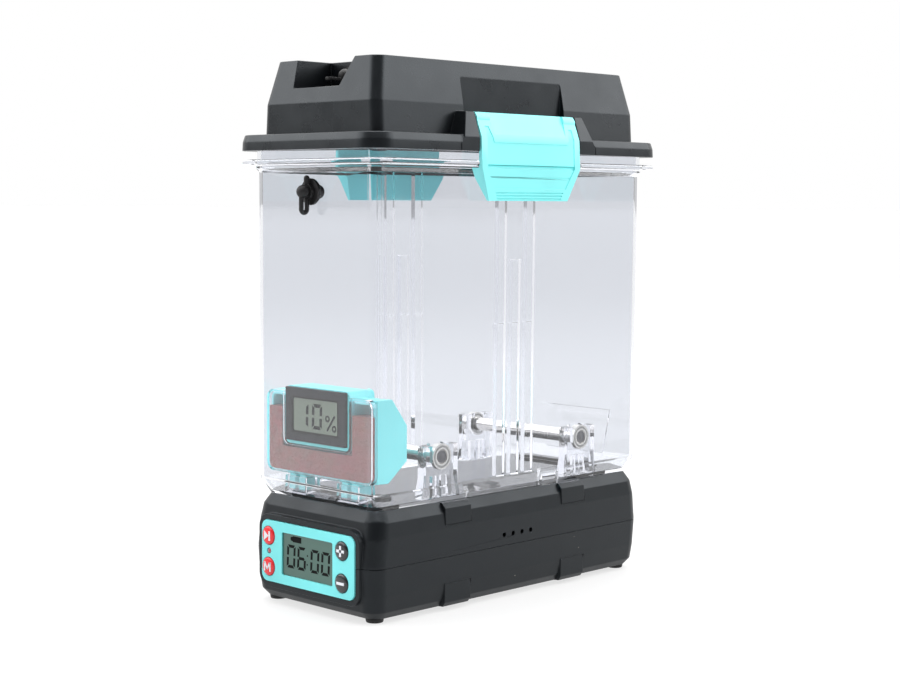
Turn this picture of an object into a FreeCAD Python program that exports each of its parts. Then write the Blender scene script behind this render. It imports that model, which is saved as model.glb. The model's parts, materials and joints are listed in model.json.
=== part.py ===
import FreeCAD, Part
import math
import os

import Sketcher
from FreeCAD import Placement, Rotation, Vector

# Filament dryer box: a heated dock, a clear storage box that stands on it, and a latched lid.
# +Z is up, the control panel faces -Y, and the origin is on the ground at the centre of the feet.

doc = FreeCAD.newDocument("filament_dryer_box")

# ---------------------------------------------------------------- driving dimensions, millimetres

# Rounded-rectangle sections of the three housings: height, half width, half length, corner radius.
SECTIONS = {
    "base_floor": (2.3, 44.7, 103.9, 7.0),
    "base_bevel": (6.2, 47.7, 107.5, 9.0),
    "base_waist": (14.7, 48.8, 108.6, 9.6),
    "base_parting": (29.6, 49.4, 109.3, 9.6),
    "base_shoulder": (45.3, 49.4, 107.6, 9.6),
    "base_brow": (53.1, 48.3, 106.1, 9.6),
    "base_deck": (58.8, 44.5, 102.4, 7.0),
    "box_bottom": (58.8, 44.5, 102.4, 6.0),
    "box_chamfer": (67.0, 47.6, 107.0, 6.0),
    "box_top": (240.4, 48.2, 107.0, 6.0),
    "box_lip": (240.4, 57.7, 115.0, 14.0),
    "box_neck": (246.4, 50.2, 107.8, 8.0),
    "lid_rim": (245.0, 56.9, 115.9, 14.0),
    "lid_rim_edge": (249.8, 56.7, 115.7, 14.0),
    "lid_rim_top": (253.5, 55.4, 114.6, 13.0),
    "hump_foot": (253.5, 45.8, 104.0, 6.0),
    "hump_break": (269.9, 44.7, 104.0, 6.0),
    "hump_top": (293.0, 40.2, 98.9, 6.0),
}

DIMENSIONS = {
    # dock
    "shell_wall": 2.4,
    "deck_thickness": 2.5,
    "foot_radius": 5.0,
    "foot_x": 38.8,
    "foot_y": 98.4,
    "screw_x": 36.0,
    "screw_y": 92.0,
    "screw_radius": 1.4,
    "boss_radius": 4.0,
    "tab_y": 47.0,
    "tab_half_length": 10.0,
    "vent_pitch": 7.2,
    "vent_height": 35.6,
    "vent_radius": 1.3,
    "port_y": 84.5,
    "port_half_width": 30.0,
    "port_half_length": 5.5,
    "seal_wall": 1.8,
    # control panel
    "panel_front": -111.6,
    "panel_back": -109.5,
    "panel_half_width": 37.4,
    "panel_half_height": 16.8,
    "panel_height": 29.1,
    "panel_radius": 4.5,
    "panel_border": 3.2,
    "frame_front": -110.9,
    "frame_back": -106.0,
    "screen_half_width": 20.5,
    "screen_half_height": 11.6,
    "button_radius": 5.0,
    "button_upper": 37.4,
    "button_lower": 20.4,
    "button_left": -31.6,
    "button_right": 27.7,
    "button_gap": 0.2,
    "led_radius": 1.5,
    "led_x": -31.3,
    "board_front": -100.0,
    "board_thickness": 1.6,
    # air path
    "rotor_y": -8.0,
    "rotor_radius": 27.0,
    "volute_radius": 30.0,
    "inlet_radius": 19.0,
    "blower_half_width": 34.0,
    "blower_top": 27.0,
    "duct_wall": 1.8,
    "duct_floor": 5.0,
    "jack_x": 30.0,
    "jack_height": 17.5,
    # storage box
    "box_wall": 2.2,
    "box_floor": 2.4,
    "lip_thickness": 3.2,
    "latch_bay": 41.2,
    "lip_bay_x": 54.6,
    "rib_pitch": 11.5,
    "rib_width": 6.5,
    "rib_inner_x": 42.9,
    "rib_step_z": 152.0,
    "rib_middle_z": 187.0,
    "lift_notch_half": 36.0,
    # rollers
    "roller_z": 83.0,
    "roller_front_y": -55.0,
    "roller_rear_y": 59.0,
    "shaft_radius": 4.0,
    "shaft_half_length": 43.2,
    "bearing_radius": 7.0,
    "bearing_width": 4.0,
    "bearing_outer_x": 43.5,
    "inner_ring_radius": 4.95,
    "outer_ring_bore": 6.05,
    "ball_radius": 0.45,
    "post_half_length": 12.0,
    # desiccant case and hygrometer
    "case_x": -1.0,
    "case_half_width": 41.2,
    "case_front": -98.0,
    "case_wall": 1.5,
    "cover_front": -102.4,
    "cover_half_width": 41.6,
    "cover_low": 71.6,
    "cover_high": 116.2,
    "cover_wall": 1.2,
    "cover_gap": 0.15,
    "spigot_length": 1.5,
    "foot_tab_x": 21.0,
    "gauge_x": -2.2,
    "gauge_z": 104.3,
    "gauge_half_width": 24.1,
    "gauge_half_height": 14.4,
    "gauge_front": -103.0,
    "gel_top": 107.2,
    # outlet plugs
    "outlet_z": 223.2,
    "outlet_flange_radius": 7.0,
    "outlet_hole_radius": 4.0,
    "outlet_pin_radius": 2.15,
    # lid and latches
    "lid_wall": 2.2,
    "lid_plate": 2.5,
    "recess_x": 41.8,
    "recess_half_length": 40.4,
    "recess_top": 285.2,
    "rim_bay_x": 53.4,
    "pivot_x": 50.2,
    "pivot_z": 262.2,
    "pin_radius": 1.5,
    "pin_half_length": 45.4,
    "barrel_radius": 3.8,
    "latch_half_length": 39.6,
    "latch_tip_half": 31.5,
    "hook_top": 236.5,
    "pocket_left": -21.5,
    "pocket_right": 14.7,
    "pocket_floor": 278.0,
    "pocket_back": -75.5,
    "lid_plug_x": -3.0,
    "lid_plug_z": 285.0,
}


class Size:
    """A length together with the spreadsheet expression that gives it."""

    def __init__(self, value, text):
        self.value = value
        self.text = text

    def __add__(self, other):
        other = as_size(other)
        return Size(self.value + other.value, f"({self.text} + {other.text})")

    def __radd__(self, other):
        return as_size(other) + self

    def __sub__(self, other):
        other = as_size(other)
        return Size(self.value - other.value, f"({self.text} - {other.text})")

    def __rsub__(self, other):
        return as_size(other) - self

    def __mul__(self, factor):
        return Size(self.value * factor, f"({self.text} * ({factor:g}))")

    def __rmul__(self, factor):
        return self * factor

    def __neg__(self):
        return self * -1


def as_size(number):
    return number if isinstance(number, Size) else Size(float(number), f"({number:g})")


def make_sheet():
    """Write every driving dimension into one spreadsheet and return its sizes by alias."""
    sheet = doc.addObject("Spreadsheet::Sheet", "Sizes")
    values = dict(DIMENSIONS)
    for name, numbers in SECTIONS.items():
        for quality, number in zip(("z", "half_x", "half_y", "radius"), numbers):
            values[f"{name}_{quality}"] = number
    sizes = {}
    for row, (alias, number) in enumerate(values.items(), start=1):
        sheet.set(f"A{row}", alias)
        sheet.set(f"B{row}", f"{number:g}")
        sheet.setAlias(f"B{row}", alias)
        sizes[alias] = Size(float(number), f"Sizes.{alias}")
    doc.recompute()
    return sizes


SIZE = make_sheet()


class Dimension:
    """Reads a size by its alias, as in D.shell_wall."""

    def __getattr__(self, alias):
        return SIZE[alias]


D = Dimension()


def section(name, inset=0.0, z=None):
    """One housing section, optionally shrunk all round and moved to another height."""
    height = SIZE[f"{name}_z"] if z is None else z
    return (
        height,
        SIZE[f"{name}_half_x"] - inset,
        SIZE[f"{name}_half_y"] - inset,
        SIZE[f"{name}_radius"] - inset,
    )


# ---------------------------------------------------------------- building blocks

PLANES = {"XY": "XY_Plane", "XZ": "XZ_Plane", "YZ": "YZ_Plane"}
TURNS = {
    "X": Rotation(Vector(0, 1, 0), 90),
    "Y": Rotation(Vector(1, 0, 0), -90),
    "Z": Rotation(),
}


def place(obj, corner):
    for letter, size in zip("xyz", corner):
        obj.setExpression(f"Placement.Base.{letter}", as_size(size).text)
    return obj


def box(name, x, y, z):
    """A box from its low and high ends along each axis."""
    obj = doc.addObject("Part::Box", name)
    for prop, (low, high) in zip(("Length", "Width", "Height"), (x, y, z)):
        obj.setExpression(prop, (as_size(high) - low).text)
    return place(obj, (x[0], y[0], z[0]))


def cylinder(name, axis, radius, start, length):
    """A cylinder from its start point along an axis."""
    obj = doc.addObject("Part::Cylinder", name)
    obj.Placement = Placement(Vector(), TURNS[axis])
    obj.setExpression("Radius", as_size(radius).text)
    obj.setExpression("Height", as_size(length).text)
    return place(obj, start)


def cone(name, axis, start_radius, end_radius, start, length):
    obj = doc.addObject("Part::Cone", name)
    obj.Placement = Placement(Vector(), TURNS[axis])
    obj.setExpression("Radius1", as_size(start_radius).text)
    obj.setExpression("Radius2", as_size(end_radius).text)
    obj.setExpression("Height", as_size(length).text)
    return place(obj, start)


def ball(name, radius, centre):
    obj = doc.addObject("Part::Sphere", name)
    obj.setExpression("Radius", as_size(radius).text)
    return place(obj, centre)


def ring(name, axis, inner, outer, start, length):
    """A plain ring: a tube with flat ends."""
    solid = cylinder(f"{name}_outside", axis, outer, start, length)
    bore = cylinder(f"{name}_bore", axis, inner, start, length)
    return cut(name, solid, bore)


def fuse(name, pieces):
    obj = doc.addObject("Part::MultiFuse", name)
    obj.Shapes = pieces
    return obj


def common(name, first, second):
    obj = doc.addObject("Part::MultiCommon", name)
    obj.Shapes = [first, second]
    return obj


def cut(name, base, *tools):
    obj = doc.addObject("Part::Cut", name)
    obj.Base = base
    obj.Tool = tools[0] if len(tools) == 1 else fuse(f"{name}_tools", list(tools))
    return obj


def group(name, pieces):
    """Several separate solids kept in one sub-part."""
    obj = doc.addObject("Part::Compound", name)
    obj.Links = pieces
    return obj


def sketch_on(body, name, plane, offset):
    sketch = body.newObject("Sketcher::SketchObject", name)
    face = next(item for item in body.Origin.OriginFeatures if item.Role == PLANES[plane])
    sketch.AttachmentSupport = [(face, "")]
    sketch.MapMode = "FlatFace"
    sketch.setExpression("AttachmentOffset.Base.z", as_size(offset).text)
    return sketch


def pin_vertex(sketch, geometry, end, label, horizontal, vertical):
    """Hold one end of a line at a position that the spreadsheet gives."""
    for kind, letter, size in (("DistanceX", "u", horizontal), ("DistanceY", "v", vertical)):
        if size is None:
            continue
        size = as_size(size)
        index = sketch.addConstraint(Sketcher.Constraint(kind, -1, 1, geometry, end, size.value))
        sketch.renameConstraint(index, f"{letter}{label}")
        sketch.setExpression(f"Constraints.{letter}{label}", size.text)


def draw_rounded(sketch, u, v, radius):
    """A rounded rectangle from its low and high edges, its corners joined by tangent arcs."""
    left, right = [as_size(a) for a in u]
    low, high = [as_size(a) for a in v]
    radius = as_size(radius)
    x0, x1 = left.value, right.value
    y0, y1 = low.value, high.value
    r = radius.value
    sides = [
        (Vector(x0 + r, y0, 0), Vector(x1 - r, y0, 0)),
        (Vector(x1, y0 + r, 0), Vector(x1, y1 - r, 0)),
        (Vector(x1 - r, y1, 0), Vector(x0 + r, y1, 0)),
        (Vector(x0, y1 - r, 0), Vector(x0, y0 + r, 0)),
    ]
    centres = [(x1 - r, y0 + r), (x1 - r, y1 - r), (x0 + r, y1 - r), (x0 + r, y0 + r)]
    lines = [sketch.addGeometry(Part.LineSegment(*ends), False) for ends in sides]
    arcs = []
    for quarter, (cx, cy) in enumerate(centres):
        circle = Part.Circle(Vector(cx, cy, 0), Vector(0, 0, 1), r)
        start = (quarter - 1) * math.pi / 2
        arcs.append(sketch.addGeometry(Part.ArcOfCircle(circle, start, start + math.pi / 2), False))
    for side in range(4):
        sketch.addConstraint(Sketcher.Constraint("Tangent", lines[side], 2, arcs[side], 1))
        sketch.addConstraint(Sketcher.Constraint("Tangent", arcs[side], 2, lines[(side + 1) % 4], 1))
        sketch.addConstraint(Sketcher.Constraint("Vertical" if side % 2 else "Horizontal", lines[side]))
        if side:
            sketch.addConstraint(Sketcher.Constraint("Equal", arcs[0], arcs[side]))
    index = sketch.addConstraint(Sketcher.Constraint("Radius", arcs[0], r))
    sketch.renameConstraint(index, "corner")
    sketch.setExpression("Constraints.corner", radius.text)
    pin_vertex(sketch, lines[0], 1, "low", None, low)
    pin_vertex(sketch, lines[1], 1, "right", right, None)
    pin_vertex(sketch, lines[2], 1, "high", None, high)
    pin_vertex(sketch, lines[3], 1, "left", left, None)


def draw_polygon(sketch, points):
    """A closed outline of straight lines, every corner held by the spreadsheet."""
    points = [(as_size(u), as_size(v)) for u, v in points]
    corners = [Vector(u.value, v.value, 0) for u, v in points]
    count = len(points)
    lines = []
    for index in range(count):
        segment = Part.LineSegment(corners[index], corners[(index + 1) % count])
        lines.append(sketch.addGeometry(segment, False))
    for index in range(count):
        joint = Sketcher.Constraint("Coincident", lines[index], 2, lines[(index + 1) % count], 1)
        sketch.addConstraint(joint)
    for index, (u, v) in enumerate(points):
        pin_vertex(sketch, lines[index], 1, f"corner{index}", u, v)


def pad(body, sketch, low, high):
    feature = body.newObject("PartDesign::Pad", f"{body.Name}_pad")
    feature.Profile = sketch
    feature.setExpression("Length", (as_size(high) - low).text)
    return body


def plane_offset(plane, low, high):
    """Where a sketch sits so that its pad fills low to high: the XZ plane's normal is -Y."""
    return -as_size(high) if plane == "XZ" else as_size(low)


def rounded_plate(name, plane, u, v, radius, low, high):
    """A rounded rectangle drawn on a plane and padded from low to high along its normal axis."""
    body = doc.addObject("PartDesign::Body", name)
    sketch = sketch_on(body, f"{name}_outline", plane, plane_offset(plane, low, high))
    draw_rounded(sketch, u, v, radius)
    return pad(body, sketch, low, high)


def prism(name, plane, points, low, high):
    """A polygon drawn on a plane and padded from low to high along its normal axis."""
    body = doc.addObject("PartDesign::Body", name)
    sketch = sketch_on(body, f"{name}_outline", plane, plane_offset(plane, low, high))
    draw_polygon(sketch, points)
    return pad(body, sketch, low, high)


def housing(name, sections):
    """A straight-sided loft through centred rounded rectangles, from the lowest to the highest."""
    body = doc.addObject("PartDesign::Body", name)
    outlines = []
    for level, (z, half_x, half_y, radius) in enumerate(sections):
        sketch = sketch_on(body, f"{name}_level{level}", "XY", z)
        draw_rounded(sketch, (-half_x, half_x), (-half_y, half_y), radius)
        outlines.append(sketch)
    loft = body.newObject("PartDesign::AdditiveLoft", f"{name}_loft")
    loft.Profile = outlines[0]
    loft.Sections = outlines[1:]
    loft.Ruled = True
    return body


def mirrored(point_pairs):
    """Both signs of each coordinate, for pieces that repeat about the centre planes."""
    x, y = point_pairs
    return [(sx * x, sy * y) for sx in (-1, 1) for sy in (-1, 1)]


SUB_PARTS = []


def sub_part(name, obj):
    """Name a finished object as one sub-part: its label is also its file's name."""
    obj.Label = name
    SUB_PARTS.append(obj)
    return obj


# ---------------------------------------------------------------- dock: the heated base


def panel_u(inset):
    """Left and right edges of the control panel's outline, shrunk by inset."""
    half = D.panel_half_width - inset
    return -half, half


def panel_v(inset):
    half = D.panel_half_height - inset
    return D.panel_height - half, D.panel_height + half


def button_places():
    return {
        "play": (D.button_left, D.button_upper),
        "mode": (D.button_left, D.button_lower),
        "plus": (D.button_right, D.button_upper),
        "minus": (D.button_right, D.button_lower),
    }


def panel_openings(name):
    """What both shells leave open behind the bezel: the screen, the buttons and the lamp."""
    holes = [
        rounded_plate(
            f"{name}_bezel_seat", "XZ", panel_u(-0.15), panel_v(-0.15), D.panel_radius + 0.15,
            D.frame_front - 1.0, D.panel_back,
        ),
        box(
            f"{name}_screen_opening",
            (-D.screen_half_width - 1.1, D.screen_half_width + 1.1),
            (D.frame_front - 1.0, D.frame_back + 2.0),
            (D.panel_height - D.screen_half_height - 2.4, D.panel_height + D.screen_half_height + 2.4),
        ),
        cylinder(f"{name}_lamp_hole", "Y", 2.1, (D.led_x, D.frame_front - 1.0, D.panel_height), 8.0),
    ]
    for button, (x, z) in button_places().items():
        start = (x, D.frame_front - 1.0, z)
        holes.append(cylinder(f"{name}_{button}_hole", "Y", D.button_radius + 0.4, start, 8.0))
        seat = (x, D.frame_back + 0.05, z)
        holes.append(cylinder(f"{name}_{button}_seat", "Y", D.button_radius + 1.5, seat, 4.0))
    return holes


def panel_frame(name, z_low, z_high):
    """The raised frame that each shell carries round the bezel, up to or down from the parting line."""
    whole = rounded_plate(
        f"{name}_frame_whole", "XZ", panel_u(-D.panel_border), panel_v(-D.panel_border),
        D.panel_radius + D.panel_border, D.frame_front, D.frame_back,
    )
    half = box(f"{name}_frame_half", (-60.0, 60.0), (-120.0, -100.0), (z_low, z_high))
    return common(f"{name}_frame", whole, half)


def side_tabs(name, outline):
    """Raised tabs on both long sides, from one outline in the XZ plane on the +X side."""
    tabs = []
    for x_sign in (-1, 1):
        points = [(x_sign * as_size(x), z) for x, z in outline]
        for y_sign in (-1, 1):
            centre = y_sign * D.tab_y
            end = f"{'left' if x_sign < 0 else 'right'}_{'front' if y_sign < 0 else 'rear'}"
            low, high = centre - D.tab_half_length, centre + D.tab_half_length
            tabs.append(prism(f"{name}_{end}", "XZ", points, low, high))
    return tabs


def base_lower_shell():
    """The dock's lower half: floor, air slots, screw bosses and half of the panel frame."""
    outside = housing(
        "lower_outside",
        [section("base_floor"), section("base_bevel"), section("base_waist"), section("base_parting")],
    )
    floor_top = D.base_floor_z + D.shell_wall
    inside = housing(
        "lower_inside",
        [
            section("base_floor", inset=0.6, z=floor_top),
            section("base_waist", inset=D.shell_wall),
            section("base_parting", inset=D.shell_wall),
        ],
    )
    tabs = side_tabs(
        "lower_tab",
        [
            (D.base_floor_half_x - 0.5, D.base_floor_z),
            (D.base_bevel_half_x - 0.4, D.base_floor_z),
            (D.base_waist_half_x + 0.3, D.base_bevel_z - 1.4),
            (D.base_waist_half_x + 0.3, D.base_waist_z + 0.6),
            (D.base_waist_half_x - 1.2, D.base_waist_z + 0.6),
        ],
    )
    frame = panel_frame("lower", 0.0, D.base_parting_z)
    shell = cut("lower_shell", fuse("lower_solid", [outside, frame] + tabs), inside)
    bosses = []
    holes = []
    for corner, (x, y) in enumerate(mirrored((D.screw_x, D.screw_y))):
        boss_height = D.base_parting_z - floor_top
        bosses.append(
            cylinder(f"lower_boss{corner}", "Z", D.boss_radius, (x, y, floor_top), boss_height)
        )
        holes.append(
            cylinder(f"lower_screw_hole{corner}", "Z", D.screw_radius + 0.15, (x, y, 0.0), 40.0)
        )
        holes.append(
            cylinder(f"lower_head_recess{corner}", "Z", 3.1, (x, y, 0.0), D.base_floor_z + 4.0)
        )
    for slot in range(9):
        y = D.rotor_y + 4.0 * (slot - 4)
        holes.append(
            box(f"lower_air_slot{slot}", (-42.5, -36.0), (y - 0.8, y + 0.8), (0.0, floor_top + 1.0))
        )
    holes.append(cylinder("lower_jack_hole", "Y", 5.2, (D.jack_x, 100.0, D.jack_height), 20.0))
    holes += panel_openings("lower")
    return sub_part("base_lower_shell", cut("lower_done", fuse("lower_body", [shell] + bosses), *holes))


def base_upper_shell():
    """The dock's upper half: deck, air ports, side vents and the rest of the panel frame."""
    outside = housing(
        "upper_outside",
        [section("base_parting"), section("base_shoulder"), section("base_brow"), section("base_deck")],
    )
    ceiling = D.base_deck_z - D.deck_thickness
    inside = housing(
        "upper_inside",
        [
            section("base_parting", inset=D.shell_wall),
            section("base_shoulder", inset=D.shell_wall),
            section("base_brow", inset=D.shell_wall),
            section("base_deck", inset=1.4, z=ceiling),
        ],
    )
    tabs = side_tabs(
        "upper_tab",
        [
            (D.base_deck_half_x - 1.5, D.base_shoulder_z + 1.5),
            (D.base_shoulder_half_x + 0.2, D.base_shoulder_z + 1.5),
            (D.base_shoulder_half_x - 0.3, D.base_deck_z - 3.0),
            (D.base_deck_half_x + 2.2, D.base_deck_z - 0.5),
            (D.base_deck_half_x - 1.5, D.base_deck_z - 0.3),
        ],
    )
    frame = panel_frame("upper", D.base_parting_z, 70.0)
    shell = cut("upper_shell", fuse("upper_solid", [outside, frame] + tabs), inside)
    bosses = []
    holes = []
    for corner, (x, y) in enumerate(mirrored((D.screw_x, D.screw_y))):
        low = D.base_parting_z
        bosses.append(
            cylinder(f"upper_boss{corner}", "Z", D.boss_radius, (x, y, low), ceiling - low + 0.5)
        )
        holes.append(
            cylinder(f"upper_screw_hole{corner}", "Z", D.screw_radius + 0.05, (x, y, low), 10.0)
        )
    for side in (-1, 1):
        y = side * D.port_y
        holes.append(
            box(
                f"upper_port{side + 1}",
                (-D.port_half_width, D.port_half_width),
                (y - D.port_half_length, y + D.port_half_length),
                (ceiling - 1.0, D.base_deck_z + 1.0),
            )
        )
    for index in range(4):
        start = (40.0, D.vent_pitch * (index - 1.5), D.vent_height)
        holes.append(cylinder(f"upper_vent{index}", "X", D.vent_radius, start, 15.0))
    holes += panel_openings("upper")
    return sub_part("base_upper_shell", cut("upper_done", fuse("upper_body", [shell] + bosses), *holes))


def rubber_feet():
    """Four tapered pads under the dock."""
    feet = []
    for corner, (x, y) in enumerate(mirrored((D.foot_x, D.foot_y))):
        start = (x, y, 0.0)
        feet.append(
            cone(f"foot{corner}", "Z", D.foot_radius - 0.5, D.foot_radius, start, D.base_floor_z)
        )
    return sub_part("rubber_feet", group("feet", feet))


def base_screws():
    """Four socket screws that hold the dock's halves together from below."""
    head_base = D.base_floor_z + 2.0
    screws = []
    for corner, (x, y) in enumerate(mirrored((D.screw_x, D.screw_y))):
        head = cylinder(f"screw_head{corner}", "Z", 2.8, (x, y, head_base), 2.0)
        shank = cylinder(f"screw_shank{corner}", "Z", D.screw_radius, (x, y, head_base), 33.0)
        drive = cylinder(f"screw_drive{corner}", "Z", 1.1, (x, y, head_base), 1.2)
        screws.append(cut(f"screw{corner}", fuse(f"screw_blank{corner}", [head, shank]), drive))
    return sub_part("base_screws", group("screws", screws))


def panel_bezel():
    """The front plate, with holes for the screen, the lamp and four buttons."""
    plate = rounded_plate(
        "bezel_plate", "XZ", panel_u(0.0), panel_v(0.0), D.panel_radius, D.panel_front, D.panel_back
    )
    opening = rounded_plate(
        "bezel_opening", "XZ",
        (-D.screen_half_width, D.screen_half_width),
        (D.panel_height - D.screen_half_height, D.panel_height + D.screen_half_height),
        1.0, D.panel_front - 1.0, D.panel_back + 1.0,
    )
    lamp = cylinder("bezel_lamp_hole", "Y", D.led_radius + 0.1, (D.led_x, -115.0, D.panel_height), 10.0)
    holes = [opening, lamp]
    for button, (x, z) in button_places().items():
        radius = D.button_radius + D.button_gap
        holes.append(cylinder(f"bezel_{button}_hole", "Y", radius, (x, -115.0, z), 10.0))
    return sub_part("panel_bezel", cut("bezel", plate, *holes))


def display():
    """The screen's window in the plate, and the display module behind it."""
    window = rounded_plate(
        "window", "XZ",
        (-D.screen_half_width + 0.05, D.screen_half_width - 0.05),
        (D.panel_height - D.screen_half_height + 0.05, D.panel_height + D.screen_half_height - 0.05),
        0.95, D.panel_front + 0.8, D.panel_back - 0.1,
    )
    sub_part("display_window", window)
    module = box(
        "module",
        (-D.screen_half_width - 0.8, D.screen_half_width + 0.8),
        (D.panel_back + 0.05, D.board_front - 0.05),
        (D.panel_height - D.screen_half_height - 2.0, D.panel_height + D.screen_half_height + 2.0),
    )
    sub_part("display_module", module)


def status_led():
    """A lamp that stands in the plate between the two left buttons."""
    z = D.panel_height
    lens = cylinder("led_lens", "Y", D.led_radius, (D.led_x, D.panel_front + 0.2, z), 4.0)
    start = D.panel_back + 0.4
    barrel = cylinder("led_barrel", "Y", 1.9, (D.led_x, start, z), D.board_front - 0.05 - start)
    return sub_part("status_led", fuse("led", [lens, barrel]))


def panel_buttons():
    """Four round caps, each with a flange behind the shell that keeps it in its hole."""
    cap_front = D.panel_front - 1.0
    flange_front = D.frame_back + 0.1
    for name, (x, z) in button_places().items():
        rim = cylinder(
            f"{name}_rim", "Y", D.button_radius, (x, cap_front + 0.5, z), flange_front - cap_front
        )
        face = cone(f"{name}_face", "Y", D.button_radius - 0.5, D.button_radius, (x, cap_front, z), 0.5)
        flange = cylinder(f"{name}_flange", "Y", D.button_radius + 1.2, (x, flange_front, z), 1.2)
        sub_part(f"button_{name}", fuse(f"{name}_button", [rim, face, flange]))


def control_board():
    """The board behind the panel, with one press switch behind each button."""
    board = box(
        "board", (-43.5, 43.5),
        (D.board_front, D.board_front + D.board_thickness),
        (9.0, 47.0),
    )
    sub_part("control_board", board)
    switches = []
    for name, (x, z) in button_places().items():
        front = D.board_front - 3.3
        body = box(
            f"{name}_switch_body", (x - 3.0, x + 3.0), (front, D.board_front - 0.05), (z - 3.0, z + 3.0)
        )
        plunger = cylinder(f"{name}_plunger", "Y", 1.6, (x, front - 0.35, z), 1.0)
        switches.append(fuse(f"{name}_switch", [body, plunger]))
    sub_part("tact_switches", group("switches", switches))


def blower():
    """The fan's tray with its scroll and post, its cover, and the bladed rotor."""
    half, low, top = D.blower_half_width, D.duct_floor, D.blower_top
    y_low, y_high = D.rotor_y - half, D.rotor_y + half
    bottom = low + D.duct_wall
    block = box("blower_block", (-half, half), (y_low, y_high), (low, top))
    chamber = cylinder("blower_chamber", "Z", D.volute_radius, (0.0, D.rotor_y, bottom), 40.0)
    channel = box("blower_channel", (4.0, D.port_half_width), (D.rotor_y, y_high + 1.0), (bottom, 40.0))
    post = cylinder("blower_post", "Z", 2.0, (0.0, D.rotor_y, bottom - 0.5), 12.5)
    tray = cut("blower_tray", block, chamber, channel)
    sub_part("blower_housing", fuse("blower_tray_with_post", [tray, post]))

    plate = box("cover_plate", (-half, half), (y_low, y_high), (top + 0.05, top + 2.0))
    inlet = cylinder("cover_inlet", "Z", D.inlet_radius, (0.0, D.rotor_y, top - 1.0), 5.0)
    sub_part("blower_cover", cut("blower_lid", plate, inlet))

    disc_low = bottom + 1.0
    disc = cylinder("rotor_disc", "Z", D.rotor_radius, (0.0, D.rotor_y, disc_low), 1.5)
    hub = cylinder("rotor_hub", "Z", 13.0, (0.0, D.rotor_y, disc_low), 14.0)
    bore = cylinder("rotor_bore", "Z", 2.06, (0.0, D.rotor_y, disc_low - 1.0), 13.5)
    rim = ring(
        "rotor_rim", "Z", D.rotor_radius - 2.0, D.rotor_radius, (0.0, D.rotor_y, disc_low + 14.0), 1.2
    )
    blades = []
    blade_count = 30
    for index in range(blade_count):
        blade = doc.addObject("Part::Box", f"rotor_blade{index}")
        blade.setExpression("Length", "(7)")
        blade.setExpression("Width", "(0.8)")
        blade.setExpression("Height", "(14.2)")
        angle = 360.0 * index / blade_count
        reach = D.rotor_radius.value - 7.0
        offset = Rotation(Vector(0, 0, 1), angle).multVec(Vector(reach, -0.4, 0))
        base = Vector(offset.x, offset.y + D.rotor_y.value, disc_low.value)
        blade.Placement = Placement(base, Rotation(Vector(0, 0, 1), angle + 8.0))
        blades.append(blade)
    rotor = fuse("rotor_solid", [disc, hub] + blades)
    trimmed = common(
        "rotor_trimmed", rotor,
        cylinder("rotor_envelope", "Z", D.rotor_radius, (0.0, D.rotor_y, disc_low), 20.0),
    )
    sub_part("blower_impeller", cut("rotor", fuse("rotor_whole", [trimmed, rim]), bore))


def ducts():
    """The return duct brings box air down to the blower; the heater duct sends it back up."""
    wall = D.duct_wall
    ceiling = D.base_deck_z - D.deck_thickness - 0.1
    half, low = D.port_half_width, 37.0
    front, back = -D.port_y - D.port_half_length, D.rotor_y + D.inlet_radius + 3.0
    outside = box("inlet_outside", (-half - wall, half + wall), (front - wall, back), (low, ceiling))
    collar = cylinder(
        "inlet_collar", "Z", D.inlet_radius + wall, (0.0, D.rotor_y, D.blower_top + 2.05), low - 27.0
    )
    hollow = box(
        "inlet_hollow", (-half, half), (front, back - wall), (low + wall, ceiling - wall)
    )
    mouth = box(
        "inlet_mouth", (-half, half), (front, -D.port_y + D.port_half_length), (low + wall, 60.0)
    )
    throat = cylinder("inlet_throat", "Z", D.inlet_radius, (0.0, D.rotor_y, D.blower_top), 20.0)
    duct = cut("inlet_tube", fuse("inlet_solid", [outside, collar]), hollow, mouth, throat)
    sub_part("inlet_duct", duct)

    left, right = -2.2, half + wall
    start, end = D.rotor_y + D.blower_half_width + 0.1, D.port_y + D.port_half_length + wall + 4.0
    riser_low = D.port_y - D.port_half_length - wall
    run = box("heater_run", (left, right), (start, end), (D.duct_floor, D.blower_top + 2.0))
    riser = box("heater_riser", (-half - wall, half + wall), (riser_low, end), (D.duct_floor, ceiling))
    run_hollow = box(
        "heater_run_hollow", (left + wall, right - wall), (start - 1.0, end - wall),
        (D.duct_floor + wall, D.blower_top),
    )
    riser_hollow = box(
        "heater_riser_hollow", (-half, half), (riser_low + wall, end - wall),
        (D.duct_floor + wall, 60.0),
    )
    sub_part(
        "heater_duct", cut("heater_tube", fuse("heater_solid", [run, riser]), run_hollow, riser_hollow)
    )

    core = (0.4, 29.4)
    fins = [
        box("heater_top_bar", core, (40.0, 60.0), (24.0, 26.0)),
        box("heater_bottom_bar", core, (40.0, 60.0), (8.0, 10.0)),
        box("heater_stones", core, (40.0, 60.0), (16.0, 18.4)),
    ]
    for index in range(12):
        x = 1.2 + 2.4 * index
        fins.append(box(f"heater_fin{index}", (x, x + 0.5), (40.5, 59.5), (8.5, 25.5)))
    sub_part("heater_core", fuse("heater_fins", fins))
    top = D.blower_top + 2.05
    sub_part("thermal_cutout", cylinder("cutout_disc", "Z", 5.5, (15.0, 50.0, top), 4.0))


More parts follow.
